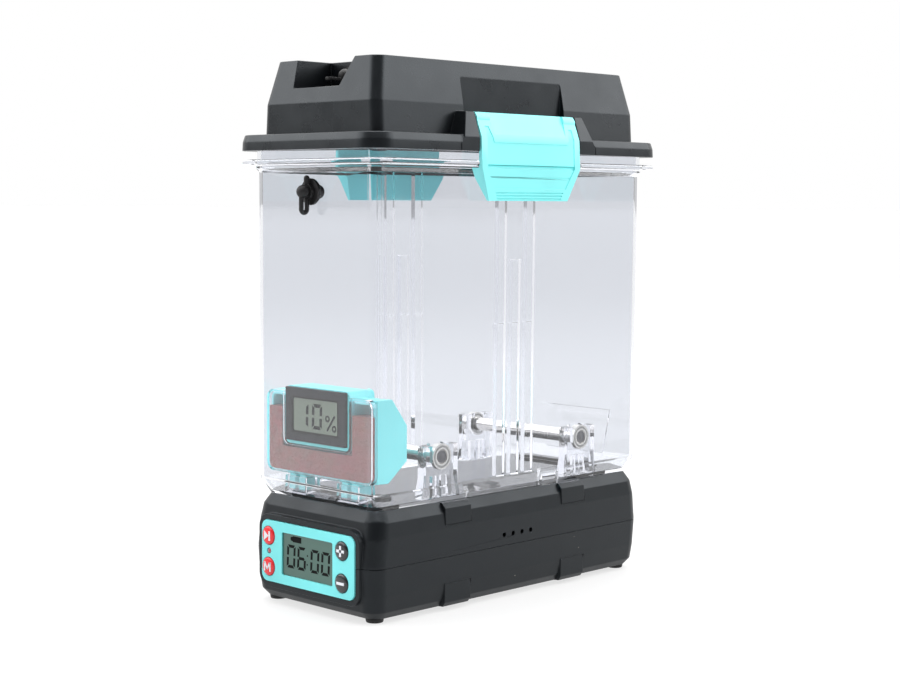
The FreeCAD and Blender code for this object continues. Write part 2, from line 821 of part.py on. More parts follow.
def port_seals():
    """A rubber frame stands in each air port and reaches into the box floor."""
    half_x, half_y = D.port_half_width - 0.15, D.port_half_length - 0.15
    low, high = D.base_deck_z - D.deck_thickness, D.base_deck_z + 3.4
    seals = []
    for side in (-1, 1):
        y = side * D.port_y
        name = f"seal{side + 1}"
        block = box(f"{name}_block", (-half_x, half_x), (y - half_y, y + half_y), (low, high))
        opening = box(
            f"{name}_opening", (D.seal_wall - half_x, half_x - D.seal_wall),
            (y - half_y + D.seal_wall, y + half_y - D.seal_wall), (low - 1.0, high + 1.0),
        )
        seals.append(cut(name, block, opening))
    return sub_part("port_seals", group("seals", seals))


def power_inlet():
    """The round supply socket in the rear wall."""
    x, z = D.jack_x, D.jack_height
    body = box("jack_body", (x - 4.5, x + 4.5), (96.8, 104.9), (z - 5.5, z + 5.5))
    nose = cylinder("jack_nose", "Y", 5.0, (x, 104.7, z), 3.8)
    bore = cylinder("jack_bore", "Y", 3.1, (x, 99.0, z), 12.0)
    pin = cylinder("jack_pin", "Y", 1.0, (x, 98.0, z), 9.5)
    shell = cut("jack_shell", fuse("jack_solid", [body, nose]), bore)
    return sub_part("power_jack", fuse("jack", [shell, pin]))


def wire_harness():
    """The supply lead inside the dock: out of the jack, round one bend, and forward to the board."""
    radius, bend = 1.4, 4.0
    z = D.jack_height.value
    side = 42.6
    start = Vector(D.jack_x.value + 4.6, 101.5, z)
    corner = Vector(side, 101.5, z)
    end = Vector(side, (D.board_front + D.board_thickness).value + 0.05, z)
    before, after = corner - Vector(bend, 0, 0), corner - Vector(0, bend, 0)
    middle = corner + Vector(-bend, -bend, 0) + Vector(1, 1, 0) * (bend / math.sqrt(2))
    route = Part.Wire([
        Part.LineSegment(start, before).toShape(),
        Part.Arc(before, middle, after).toShape(),
        Part.LineSegment(after, end).toShape(),
    ])
    outline = Part.Wire([Part.Circle(start, Vector(1, 0, 0), radius).toShape()])
    obj = doc.addObject("Part::Feature", "harness")
    obj.Shape = route.makePipeShell([outline], True, False)
    return sub_part("wire_harness", obj)


# ---------------------------------------------------------------- storage box


def box_interior(name, margin):
    """The space inside the storage box, shrunk by margin on every side."""
    wall = D.box_wall + margin
    return housing(
        name,
        [
            section("box_bottom", inset=wall - 0.2, z=D.box_bottom_z + D.box_floor),
            section("box_chamfer", inset=wall, z=D.box_chamfer_z + 1.0),
            section("box_top", inset=wall),
        ],
    )


def container_shell():
    """The clear storage box: its walls, lip, neck, ribs, air ports and strand outlet."""
    floor_top = D.box_bottom_z + D.box_floor
    lip_low = D.box_lip_z - D.lip_thickness
    neck_wall = 2.4
    outside = housing(
        "box_outside", [section("box_bottom"), section("box_chamfer"), section("box_top")]
    )
    collar = housing(
        "box_collar",
        [
            section("box_top", inset=0.8, z=lip_low - 4.4),
            section("box_top", inset=-1.6, z=lip_low - 1.6),
            section("box_top", inset=-1.6, z=lip_low + 0.5),
        ],
    )
    lip = housing(
        "box_lip",
        [
            section("box_lip", inset=0.7, z=lip_low),
            section("box_lip", z=lip_low + 0.7),
            section("box_lip", z=D.box_lip_z - 0.7),
            section("box_lip", inset=0.7),
        ],
    )
    neck = housing("box_neck", [section("box_neck", z=D.box_lip_z - 0.5), section("box_neck")])
    inside = box_interior("box_inside", 0.0)
    neck_inside = housing(
        "neck_inside",
        [
            section("box_neck", inset=neck_wall, z=D.box_lip_z),
            section("box_neck", inset=neck_wall, z=D.box_neck_z),
        ],
    )
    shell = cut("box_shell", fuse("box_solid", [outside, collar, lip, neck]), inside, neck_inside)

    additions = []
    for side, name in ((-1, "left"), (1, "right")):
        for index in (-1, 0, 1):
            y = index * D.rib_pitch
            top = D.box_lip_z - 4.0 if index else D.rib_middle_z
            y_ends = (y - D.rib_width * 0.5, y + D.rib_width * 0.5)
            for level, inner, z_high in (
                ("upper", D.rib_inner_x, top),
                ("lower", D.rib_inner_x - 0.8, D.rib_step_z),
            ):
                outer = D.box_chamfer_half_x - 0.4
                x_ends = (inner, outer) if side > 0 else (-outer, -inner)
                rib = f"rib_{name}{index + 1}_{level}"
                additions.append(box(rib, x_ends, y_ends, (D.box_chamfer_z + 1.0, z_high)))
        x_ends = (42.5, 47.4) if side > 0 else (-47.4, -42.5)
        additions.append(box(f"lift_block_{name}", x_ends, (22.0, 36.0), (59.1, 68.3)))
    rear = D.box_chamfer_half_y - D.box_wall
    rear_panel = prism(
        "rear_panel", "XZ",
        [(-22.0, 64.0), (22.0, 64.0), (27.6, 93.5), (-27.6, 93.5)],
        rear - 0.8, rear + 0.5,
    )
    additions.append(rear_panel)

    openings = []
    for side in (-1, 1):
        y = side * D.port_y
        openings.append(
            box(
                f"box_port{side + 1}",
                (-D.port_half_width, D.port_half_width),
                (y - D.port_half_length, y + D.port_half_length),
                (D.box_bottom_z - 1.0, floor_top + 1.0),
            )
        )
        x_ends = (42.8, 50.0) if side > 0 else (-50.0, -42.8)
        notch_end = 21.9
        openings.append(
            box(f"lift_notch{side + 1}", x_ends, (-D.lift_notch_half, notch_end), (58.0, 61.4))
        )
        x_ends = (D.lip_bay_x, 60.0) if side > 0 else (-60.0, -D.lip_bay_x)
        openings.append(
            box(
                f"latch_bay{side + 1}",
                x_ends,
                (-D.latch_bay, D.latch_bay),
                (lip_low - 0.5, D.box_lip_z + 0.5),
            )
        )
    openings.append(
        cylinder("box_outlet", "Y", D.outlet_hole_radius, (0.0, -110.0, D.outlet_z), 10.0)
    )
    return sub_part(
        "container_shell", cut("box_done", fuse("box_ribbed", [shell] + additions), *openings)
    )


def bearing_posts():
    """One clear post under each bearing: an inner cheek, two uprights and a saddle."""
    floor_top = D.box_bottom_z + D.box_floor + 0.05
    half, axis_z = D.post_half_length, D.roller_z
    top = axis_z + 6.3
    outer = D.bearing_outer_x
    inner = outer - D.bearing_width - 2.4
    seat = D.bearing_radius + 0.05
    posts = []
    for axle, y in (("front", D.roller_front_y), ("rear", D.roller_rear_y)):
        for side, name in ((-1, "left"), (1, "right")):
            tag = f"post_{axle}_{name}"

            def ends(low, high):
                return (low, high) if side > 0 else (-high, -low)

            cheek = box(
                f"{tag}_cheek", ends(inner, inner + 2.0), (y - 8.5, y + 8.5), (floor_top, axis_z)
            )
            crown_x = inner if side > 0 else -inner - 2.0
            crown = cylinder(f"{tag}_crown", "X", 8.5, (crown_x, y, axis_z), 2.0)
            pieces = [cheek, crown]
            for edge, y_ends in (("fore", (y - half, y - seat)), ("aft", (y + seat, y + half))):
                pieces.append(box(f"{tag}_{edge}", ends(inner, outer), y_ends, (floor_top, top)))
            pieces.append(
                box(
                    f"{tag}_saddle",
                    ends(inner, outer - 0.6),
                    (y - seat, y + seat),
                    (axis_z - 10.0, axis_z - 3.0),
                )
            )
            pieces.append(
                box(
                    f"{tag}_web",
                    ends(inner, outer - 1.6),
                    (y - 1.0, y + 1.0),
                    (floor_top, axis_z - 8.0),
                )
            )
            for edge, sign in (("toe", -1), ("heel", 1)):
                foot = [
                    (y + sign * half, floor_top),
                    (y + sign * (half + 2.5), floor_top),
                    (y + sign * half, 72.0),
                ]
                x_low, x_high = ends(inner, outer - 1.0)
                pieces.append(prism(f"{tag}_{edge}", "YZ", foot, x_low, x_high))
            bearing_start = outer - D.bearing_width - 0.1
            seat_x = bearing_start if side > 0 else -outer - 1.0
            seat_hole = cylinder(f"{tag}_seat", "X", seat, (seat_x, y, axis_z), D.bearing_width + 1.1)
            shaft_gap = D.shaft_radius + 0.6
            shaft_slot = box(
                f"{tag}_slot",
                ends(inner - 1.0, inner + 2.5),
                (y - shaft_gap, y + shaft_gap),
                (axis_z, axis_z + 12.0),
            )
            shaft_hole_x = inner - 1.0 if side > 0 else -inner - 2.5
            shaft_hole = cylinder(f"{tag}_hole", "X", shaft_gap, (shaft_hole_x, y, axis_z), 3.5)
            posts.append(cut(tag, fuse(f"{tag}_solid", pieces), seat_hole, shaft_slot, shaft_hole))
    room = box_interior("post_room", 0.1)
    return sub_part("bearing_posts", common("posts_in_room", group("posts", posts), room))


def rollers():
    """Two steel shafts, each turning in a ball bearing at either end."""
    outer, width = D.bearing_outer_x, D.bearing_width
    races, shields, balls = [], [], []
    ball_path = (D.inner_ring_radius + D.outer_ring_bore) * 0.5
    for axle, y in (("front", D.roller_front_y), ("rear", D.roller_rear_y)):
        z = D.roller_z
        half = D.shaft_half_length
        bar = cylinder(f"shaft_{axle}_bar", "X", D.shaft_radius, (-half + 0.4, y, z), half * 2 - 0.8)
        tips = [
            cone(
                f"shaft_{axle}_tip_left", "X", D.shaft_radius - 0.4, D.shaft_radius, (-half, y, z), 0.4
            ),
            cone(
                f"shaft_{axle}_tip_right",
                "X",
                D.shaft_radius,
                D.shaft_radius - 0.4,
                (half - 0.4, y, z),
                0.4,
            ),
        ]
        sub_part(f"shaft_{axle}", fuse(f"shaft_{axle}_solid", [bar] + tips))
        inner_rings = []
        for side, name in ((-1, "left"), (1, "right")):
            tag = f"bearing_{axle}_{name}"
            start = outer - width if side > 0 else -outer
            inner_rings.append(
                ring(
                    f"{tag}_inner",
                    "X",
                    D.shaft_radius + 0.02,
                    D.inner_ring_radius,
                    (start, y, z),
                    width,
                )
            )
            races.append(
                ring(f"{tag}_outer", "X", D.outer_ring_bore, D.bearing_radius, (start, y, z), width)
            )
            for face, x in (("near", start + 0.1), ("far", start + width - 0.5)):
                shield_in, shield_out = D.inner_ring_radius + 0.08, D.outer_ring_bore + 0.05
                shields.append(ring(f"{tag}_shield_{face}", "X", shield_in, shield_out, (x, y, z), 0.4))
            middle = (start + width * 0.5).value
            ball_count = 14
            for index in range(ball_count):
                angle = 2.0 * math.pi * index / ball_count
                centre = (middle, y + ball_path * math.cos(angle), z + ball_path * math.sin(angle))
                balls.append(ball(f"{tag}_ball{index}", D.ball_radius, centre))
        sub_part(f"inner_rings_{axle}", group(f"inner_rings_{axle}_pair", inner_rings))
    sub_part("bearing_outer_rings", group("outer_rings", races))
    sub_part("bearing_shields", group("shield_rings", shields))
    sub_part("bearing_balls", group("ball_sets", balls))


def case_clips():
    """Two clear cups inside the front wall that take the feet of the desiccant case."""
    low = D.box_bottom_z + D.box_floor + 0.05
    cups = []
    for side in (-1, 1):
        x = side * D.foot_tab_x
        name = f"clip{side + 1}"
        block = box(f"{name}_block", (x - 8.6, x + 8.6), (-100.2, -90.3), (low, low + 8.6))
        hollow = box(f"{name}_hollow", (x - 7.4, x + 7.4), (-99.1, -91.5), (low + 1.0, low + 12.0))
        cups.append(cut(name, block, hollow))
    return sub_part("case_clips", group("clips", cups))


# ---------------------------------------------------------------- desiccant case and hygrometer


def case_outline(inset):
    """The case seen from the side: its back follows the curve of a spool."""
    front, back = D.case_front, as_size(-77.7) - inset
    return [
        (front, 72.0 + inset), (-90.9 - 0.4 * inset, 72.0 + inset), (back, 82.7 + 0.4 * inset),
        (back, 101.4 - 0.4 * inset), (-88.4 - 0.5 * inset, 115.8 - inset), (front, 115.8 - inset),
    ]


def across_case(half_width):
    """The two side faces of something that is centred on the case."""
    return (D.case_x - half_width, D.case_x + half_width)


def gauge_block(name, margin, front, back, top):
    x, z = D.gauge_x, D.gauge_z
    half_x, half_z = D.gauge_half_width + margin, D.gauge_half_height + margin
    return box(name, (x - half_x, x + half_x), (front, back), (z - half_z, top))


def desiccant_case():
    """The tray for the drying beads, with the gauge's holder and two pairs of feet."""
    half = D.case_half_width
    wall = D.case_wall
    spigot_front = D.case_front - D.spigot_length
    spigot_inset = D.cover_wall + D.cover_gap
    spigot_half = D.cover_half_width - spigot_inset
    spigot_z = (D.cover_low + spigot_inset, D.cover_high - spigot_inset)
    body = prism("case_body", "YZ", case_outline(0.0), *across_case(half))
    spigot = rounded_plate(
        "case_spigot", "XZ",
        across_case(spigot_half), spigot_z, 3.6, spigot_front, D.case_front + 0.5,
    )
    hollow = prism("case_hollow", "YZ", case_outline(wall), *across_case(half - wall))
    mouth = rounded_plate(
        "case_mouth", "XZ",
        across_case(spigot_half - wall),
        (spigot_z[0] + wall, spigot_z[1] - wall),
        2.4, spigot_front - 1.0, D.case_front + 0.6,
    )
    bay = gauge_block("case_bay", 3.9, -110.0, D.case_front, 125.0)
    tray = cut("case_tray", fuse("case_solid", [body, spigot]), hollow, mouth, bay)
    holder = rounded_plate(
        "gauge_holder", "XZ",
        (D.gauge_x - D.gauge_half_width - 2.0, D.gauge_x + D.gauge_half_width + 2.0),
        (D.gauge_z - D.gauge_half_height - 2.0, 119.3), 4.0, -101.4, -85.4,
    )
    seat = gauge_block("gauge_seat", 0.2 - 1.3, -110.0, -89.0, D.gauge_z + D.gauge_half_height - 1.1)
    flange_seat = gauge_block("gauge_flange_seat", 0.2, -110.0, -101.1, 125.0)
    feet = []
    for side in (-1, 1):
        for prong in (-4.0, 4.0):
            x = side * D.foot_tab_x + prong
            name = f"case_foot{side + 1}_{'inner' if prong < 0 else 'outer'}"
            feet.append(box(name, (x - 2.5, x + 2.5), (-98.6, -92.4), (63.0, 71.4)))
            feet.append(box(f"{name}_root", (x - 2.5, x + 2.5), (D.case_front, -92.4), (71.0, 73.0)))
    case = cut("case_with_seat", fuse("case_with_holder", [tray, holder] + feet), seat, flange_seat)
    return sub_part("desiccant_case", case)


def desiccant_cover():
    """A shallow clear tray over the case's mouth, with a bay cut down around the gauge."""
    front, back, wall = D.cover_front, D.case_front - 0.1, D.cover_wall
    half = D.cover_half_width
    outside = rounded_plate(
        "cover_outside", "XZ", across_case(half), (D.cover_low, D.cover_high), 5.0, front, back
    )
    inside = rounded_plate(
        "cover_inside", "XZ", across_case(half - wall), (D.cover_low + wall, D.cover_high - wall),
        3.8, front + wall, back + 1.0,
    )
    bay_half = D.gauge_half_width + 2.3
    bay_floor = D.gauge_z - D.gauge_half_height - 2.5
    x = D.gauge_x
    bay = rounded_plate(
        "cover_bay",
        "XZ",
        (x - bay_half, x + bay_half),
        (bay_floor, 125.0),
        4.0,
        front - 1.0,
        back + 1.0,
    )
    bay_wall = rounded_plate(
        "cover_bay_wall", "XZ", (x - bay_half - wall, x + bay_half + wall), (bay_floor - wall, 125.0),
        5.0, front + 0.5, back,
    )
    rim = cut("cover_rim", outside, cut("cover_hollow", inside, bay_wall), bay)
    return sub_part("desiccant_cover", rim)


def desiccant_beads():
    """The space the drying beads take up: the tray, the spigot's mouth and the front of the cover."""
    side_gap = D.case_wall + 0.2
    half = D.case_half_width - side_gap
    body = prism("beads_body", "YZ", case_outline(side_gap), *across_case(half))
    spigot_front = D.case_front - D.spigot_length
    mouth_inset = D.cover_wall + D.cover_gap + side_gap
    mouth = rounded_plate(
        "beads_mouth", "XZ", across_case(D.cover_half_width - mouth_inset),
        (D.cover_low + mouth_inset, D.cover_high - mouth_inset),
        2.2, spigot_front - 0.4, D.case_front + 0.4,
    )
    face_inset = D.cover_wall + 0.2
    face = rounded_plate(
        "beads_face", "XZ", across_case(D.cover_half_width - face_inset),
        (D.cover_low + face_inset, D.cover_high - face_inset),
        3.6, D.cover_front + D.cover_wall + 0.2, spigot_front - 0.2,
    )
    level = box("beads_level", (-50.0, 50.0), (-110.0, -70.0), (60.0, D.gel_top))
    holder = gauge_block("beads_gauge_bay", 3.9, -110.0, -85.2, 125.0)
    fill = common("beads_fill", fuse("beads_solid", [body, mouth, face]), level)
    return sub_part("desiccant_beads", cut("beads", fill, holder))


def hygrometer():
    """The humidity gauge: body, window and button cell."""
    x, z = D.gauge_x, D.gauge_z
    half_x, half_z = D.gauge_half_width, D.gauge_half_height
    front = D.gauge_front
    flange = rounded_plate(
        "gauge_flange", "XZ", (x - half_x, x + half_x), (z - half_z, z + half_z), 1.0, front, -101.2
    )
    body = box(
        "gauge_body",
        (x - half_x + 1.3, x + half_x - 1.3),
        (-101.3, -89.4),
        (z - half_z + 1.3, z + half_z - 1.3),
    )
    window = rounded_plate(
        "gauge_window", "XZ", (x - 18.0, x + 18.0), (z - 9.0, z + 9.0), 1.6, front - 1.0, front + 1.2
    )
    cell_bay = cylinder("gauge_cell_bay", "Y", 6.0, (x - 12.0, -93.0, z), 4.0)
    sub_part("hygrometer_body", cut("gauge", fuse("gauge_solid", [flange, body]), window, cell_bay))
    glass = rounded_plate(
        "gauge_glass", "XZ", (x - 17.9, x + 17.9), (z - 8.9, z + 8.9), 1.5, front + 0.5, front + 1.15
    )
    sub_part("hygrometer_display", glass)
    sub_part("hygrometer_cell", cylinder("cell", "Y", 5.8, (x - 12.0, -92.9, z), 3.4))


# ---------------------------------------------------------------- outlet plugs


def grommet(name, x, wall_front, wall_back, z, flange_radius, flange_thickness):
    """A rubber bush snapped into a wall hole: a flange outside, a bulb inside, and a bore."""
    hole = D.outlet_hole_radius
    flange = cylinder(
        f"{name}_flange",
        "Y",
        flange_radius,
        (x, wall_front - flange_thickness, z),
        flange_thickness - 0.9,
    )
    edge = cone(f"{name}_edge", "Y", flange_radius, flange_radius - 0.6, (x, wall_front - 0.9, z), 0.85)
    length = as_size(wall_back) - wall_front
    neck = cylinder(f"{name}_neck", "Y", hole - 0.05, (x, wall_front - 1.0, z), length + 1.5)
    bulb = cone(f"{name}_bulb", "Y", hole + 0.9, hole - 0.8, (x, wall_back + 0.05, z), 4.0)
    bore = cylinder(f"{name}_bore", "Y", D.outlet_pin_radius + 0.08, (x, wall_front - 10.0, z), 30.0)
    return sub_part(name, cut(f"{name}_bush", fuse(f"{name}_solid", [flange, edge, neck, bulb]), bore))


def stopper_pieces(name, x, face, z, pin_length):
    """The stopper's pin, collar and round knob, standing out from a grommet's face along -Y."""
    pin = cylinder(f"{name}_pin", "Y", D.outlet_pin_radius, (x, face - 0.3, z), pin_length)
    collar = cylinder(f"{name}_collar", "Y", 4.2, (x, face - 2.3, z), 2.0)
    knob = ball(f"{name}_knob", 3.6, (x, face - 4.2, z))
    return [pin, collar, knob]


def outlet_plug():
    """The storage box's strand outlet: a grommet, its stopper and the stopper's pull loop."""
    wall_front, wall_back = -D.box_chamfer_half_y, -D.box_chamfer_half_y + D.box_wall
    thickness = 2.6
    z = D.outlet_z
    grommet("outlet_grommet", 0.0, wall_front, wall_back, z, D.outlet_flange_radius, thickness)
    face = wall_front - thickness
    pieces = stopper_pieces("outlet_stopper", 0.0, face, z, 9.0)
    strap_y = face - 1.8
    pieces.append(cylinder("outlet_tab", "Z", 1.55, (0.0, strap_y, z), 7.0))
    pieces.append(ball("outlet_tab_end", 1.55, (0.0, strap_y, z + 7.0)))
    loop_radius, strand = 1.9, 1.25
    loop_y, loop_z = face - 3.6, z - 9.0
    for index, offset in enumerate((-loop_radius, loop_radius)):
        pieces.append(
            cylinder(f"outlet_strand{index}", "Z", strand, (0.0, loop_y + offset, loop_z), 7.0)
        )
    loop = doc.addObject("Part::Torus", "outlet_loop")
    loop.Placement = Placement(Vector(), TURNS["X"])
    loop.setExpression("Radius1", f"({loop_radius:g})")
    loop.setExpression("Radius2", f"({strand:g})")
    place(loop, (0.0, loop_y, loop_z))
    sub_part("outlet_stopper", fuse("outlet_stopper_solid", pieces + [loop]))


def lid_plug():
    """The lid's strand outlet inside the pocket: a grommet and a stopper on a strap."""
    x, z = D.lid_plug_x, D.lid_plug_z
    thickness = 2.2
    grommet("lid_grommet", x, D.pocket_back, D.pocket_back + D.lid_wall, z, 6.2, thickness)
    face = D.pocket_back - thickness
    pieces = stopper_pieces("lid_stopper", x, face, z, 8.5)
    strap = box("lid_stopper_strap", (x - 1.5, x + 1.5), (face - 15.0, face - 1.4), (z - 2.9, z - 1.3))
    end = cylinder("lid_stopper_strap_end", "Z", 2.4, (x, face - 15.0, z - 2.9), 1.6)
    sub_part("lid_stopper", fuse("lid_stopper_solid", pieces + [strap, end]))


# ---------------------------------------------------------------- lid and latches


def pocket_outline(margin):
    """The open pocket in the lid's front: an upright left side and a sloping right side."""
    rise = 15.5
    slope = 8.8
    return [
        (D.pocket_left - margin, D.pocket_floor - margin),
        (D.pocket_right + margin, D.pocket_floor - margin),
        (D.pocket_right + slope + margin, D.pocket_floor + rise),
        (D.pocket_left - margin, D.pocket_floor + rise),
    ]


def latch_ears():
    """Two ears beside each latch, leaning in towards their tops."""
    near, tip, foot = D.recess_half_length, 46.9, 54.2
    low, bend, top = D.lid_rim_z, 252.6, 265.9
    side_view = [
        (43.4, low), (57.1, low), (57.1, bend), (52.7, top), (47.0, top + 0.4), (43.4, top + 0.4)
    ]
    ears = []
    for x_sign, side in ((-1, "left"), (1, "right")):
        outline = [(x_sign * as_size(x), z) for x, z in side_view]
        for y_sign, end in ((-1, "front"), (1, "rear")):
            tag = f"ear_{side}_{end}"
            ends = (near, as_size(foot)) if y_sign > 0 else (-as_size(foot), -near)
            profile = prism(f"{tag}_profile", "XZ", outline, *ends)
            face = [
                (near, low),
                (foot, low),
                (foot, 248.9),
                (51.9, bend),
                (tip, top),
                (tip, 267.0),
                (near, 267.0),
            ]
            face = [(y_sign * as_size(y), z) for y, z in face]
            ends = (43.0, 58.0) if x_sign > 0 else (-58.0, -43.0)
            ears.append(common(tag, profile, prism(f"{tag}_face", "YZ", face, *ends)))
    return ears


def lid_shell():
    """The lid: a rim over the box's neck, a hollow hump, a front pocket and two latch recesses."""
    rim = housing("lid_rim", [section("lid_rim"), section("lid_rim_edge"), section("lid_rim_top")])
    hump = housing(
        "lid_hump",
        [section("hump_foot", z=D.hump_foot_z - 0.5), section("hump_break"), section("hump_top")],
    )
    plate_low = D.lid_rim_top_z - D.lid_plate
    groove = housing(
        "lid_groove",
        [
            section("box_neck", inset=-0.8, z=D.lid_rim_z - 1.0),
            section("box_neck", inset=-0.8, z=plate_low),
        ],
    )
    inside = housing(
        "hump_inside",
        [
            section("hump_foot", inset=D.lid_wall, z=plate_low - 0.5),
            section("hump_break", inset=D.lid_wall),
            section("hump_top", inset=D.lid_wall, z=D.hump_top_z - D.lid_wall),
        ],
    )
    wall = D.lid_wall
    pocket = prism("pocket_void", "XZ", pocket_outline(0.0), -112.0, D.pocket_back)
    pocket_skin = prism("pocket_skin", "XZ", pocket_outline(wall), -112.0, D.pocket_back + wall)
    skins = [pocket_skin]
    voids = [pocket, groove]
    for side in (-1, 1):
        reach = D.recess_half_length

        def ends(low, high=60.0):
            return (low, high) if side > 0 else (-as_size(high), -as_size(low))

        voids.append(
            box(
                f"latch_recess{side + 1}",
                ends(D.recess_x),
                (-reach, reach),
                (D.hump_foot_z, D.recess_top),
            )
        )
        voids.append(box(f"rim_bay{side + 1}", ends(D.rim_bay_x), (-reach, reach), (240.0, 256.0)))
        skins.append(
            box(
                f"recess_skin{side + 1}",
                ends(D.recess_x - wall),
                (-reach - wall, reach + wall),
                (D.hump_foot_z - 4.0, D.recess_top + 3.0),
            )
        )
    voids.append(
        cylinder("pocket_outlet", "Y", D.outlet_hole_radius, (D.lid_plug_x, -78.0, D.lid_plug_z), 8.0)
    )
    hollow = cut("hump_hollow", inside, *skins)
    for side in (-1, 1):
        start = (side * D.pivot_x, -D.pin_half_length - 0.1, D.pivot_z)
        voids.append(
            cylinder(
                f"ear_bore{side + 1}", "Y", D.pin_radius + 0.02, start, D.pin_half_length * 2 + 0.2
            )
        )
    return sub_part(
        "lid_shell", cut("lid", fuse("lid_solid", [rim, hump] + latch_ears()), hollow, *voids)
    )


def lid_gasket():
    """The sealing ring between the lid's plate and the box's neck."""
    low, high = D.box_neck_z + 0.1, D.lid_rim_top_z - D.lid_plate - 0.05
    outside = housing(
        "gasket_outside",
        [section("box_neck", inset=-0.3, z=low), section("box_neck", inset=-0.3, z=high)],
    )
    inside = housing(
        "gasket_inside",
        [section("box_neck", inset=2.6, z=low), section("box_neck", inset=2.6, z=high)],
    )
    return sub_part("lid_gasket", cut("gasket", outside, inside))


def latch_relief(name, side):
    """What is sunk into a latch's outer face.

    From the top down: a wedge-shaped scoop, a shallow middle panel, a deep groove over the hook, a
    shallow lower panel with a line across it, and three grip grooves.
    """
    reach = 60.0
    upper = [(57.72, 238.0), (57.0, 252.5), (53.6, 261.4)]
    bands = {
        "scoop": (
            [(56.9, 254.0), (reach, 254.0), (reach, 268.0), (49.75, 268.0)],
            [(-28.2, 253.0), (28.2, 253.0), (30.8, 268.0), (-30.8, 268.0)],
        ),
        "panel": (
            upper + [(reach, 261.4), (reach, 238.0)],
            [(-35.1, 238.0), (35.1, 238.0), (35.1, 258.5), (32.3, 258.5), (29.8, 250.0),
             (-29.8, 250.0), (-32.3, 258.5), (-35.1, 258.5)],
        ),
        "hook_groove": (
            [(56.9, 237.8), (reach, 238.2), (reach, 236.2), (57.3, 236.2)],
            [(-35.1, 236.0), (35.1, 236.0), (35.1, 238.4), (-35.1, 238.4)],
        ),
        "lower_panel": (
            [(57.71, 236.3), (56.24, 225.6), (reach, 225.6), (reach, 236.3)],
            [(-28.8, 225.0), (28.8, 225.0), (35.0, 236.6), (-35.0, 236.6)],
        ),
        "line": (
            [(56.8, 231.9), (56.7, 231.2), (reach, 231.2), (reach, 231.9)],
            [(-31.6, 231.0), (31.6, 231.0), (32.4, 232.2), (-32.4, 232.2)],
        ),
    }
    for index in range(3):
        z = 223.3 - 1.55 * index
        surface = 55.7 + (z - 219.0) / 7.0
        half = 27.4 - 0.7 * index
        bands[f"grip{index}"] = (
            [(surface - 0.6, z - 0.3), (reach, z - 0.4), (reach, z + 0.4), (surface - 0.5, z + 0.3)],
            [(-half, z - 1.0), (half, z - 1.0), (half, z + 1.0), (-half, z + 1.0)],
        )
    ends = (45.0, 61.0) if side > 0 else (-61.0, -45.0)
    cutters = []
    for band, (profile, face) in bands.items():
        outline = [(side * as_size(px), pz) for px, pz in profile]
        across = prism(f"{name}_{band}_profile", "XZ", outline, -40.0, 40.0)
        cutters.append(
            common(f"{name}_{band}", across, prism(f"{name}_{band}_face", "YZ", face, *ends))
        )
    return cutters


def latches():
    """Each latch hangs from its pin, lies down the rim, and hooks in under the box's lip."""
    x, z = D.pivot_x, D.pivot_z
    hook, barrel = D.hook_top, D.barrel_radius
    outline = [
        (x, z + barrel), (52.4, z + barrel - 0.2), (57.4, 252.7), (58.2, hook),
        (55.7, 219.0), (54.2, 219.0), (50.2, 231.4), (50.2, hook),
        (55.5, hook), (55.5, 251.6), (x + 1.6, z - barrel + 0.4),
    ]
    half, tip = D.latch_half_length, D.latch_tip_half
    face = [(-tip, 218.0), (tip, 218.0), (half, 236.5), (half, 268.0), (-half, 268.0), (-half, 236.5)]
    for side, name in ((1, "right"), (-1, "left")):
        profile = [(side * as_size(px), pz) for px, pz in outline]
        plate = prism(f"latch_{name}_profile", "XZ", profile, -half, half)
        ends = (45.0, 60.0) if side > 0 else (-60.0, -45.0)
        front = prism(f"latch_{name}_face", "YZ", face, *ends)
        start = (side * x, -half, z)
        knuckle = cylinder(f"latch_{name}_knuckle", "Y", barrel, start, half * 2)
        bore = cylinder(
            f"latch_{name}_bore", "Y", D.pin_radius + 0.06, (side * x, -half - 1.0, z), half * 2 + 2.0
        )
        plate = common(f"latch_{name}_plate", plate, front)
        solid = fuse(f"latch_{name}_solid", [plate, knuckle])
        sub_part(
            f"latch_{name}",
            cut(f"latch_{name}_done", solid, bore, *latch_relief(f"latch_{name}", side)),
        )
        reach = D.pin_half_length
        pin = cylinder(f"latch_pin_{name}_rod", "Y", D.pin_radius, (side * x, -reach, z), reach * 2)
        sub_part(f"latch_pin_{name}", pin)


# ---------------------------------------------------------------- make, check and write


def build():
    """Make every sub-part, from the ground up."""
    base_lower_shell()
    base_upper_shell()
    rubber_feet()
    base_screws()
    panel_bezel()
    display()
    status_led()
    panel_buttons()
    control_board()
    blower()
    ducts()
    port_seals()
    power_inlet()
    wire_harness()
    container_shell()
    bearing_posts()
    rollers()
    case_clips()
    desiccant_case()
    desiccant_cover()
    desiccant_beads()
    hygrometer()
    outlet_plug()
    lid_plug()
    lid_shell()
    lid_gasket()
    latches()


def check_and_write():
    """Stop on a faulty shape, then write one STEP file for each sub-part."""
    doc.recompute()
    faults = [
        f"{obj.Name}: {', '.join(obj.State)}"
        for obj in doc.Objects
        if "Invalid" in obj.State or "Error" in obj.State
    ]
    for obj in SUB_PARTS:
        if obj.Shape.isNull() or not obj.Shape.isValid() or not obj.Shape.Solids:
            faults.append(f"{obj.Label}: its shape is empty or not valid")
    if faults:
        raise RuntimeError("; ".join(faults))
    os.makedirs("parts", exist_ok=True)
    for obj in SUB_PARTS:
        obj.Shape.exportStep(f"parts/{obj.Label}.step")
        print(f"{obj.Label}: {len(obj.Shape.Solids)} solids, {obj.Shape.Volume / 1000:.2f} cm3")
    print(f"{len(SUB_PARTS)} sub-parts")


build()
check_and_write()
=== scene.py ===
"""Looks for the filament dryer box: materials, moulded edges, print, gel beads, studio and camera."""
import json
import math
import random

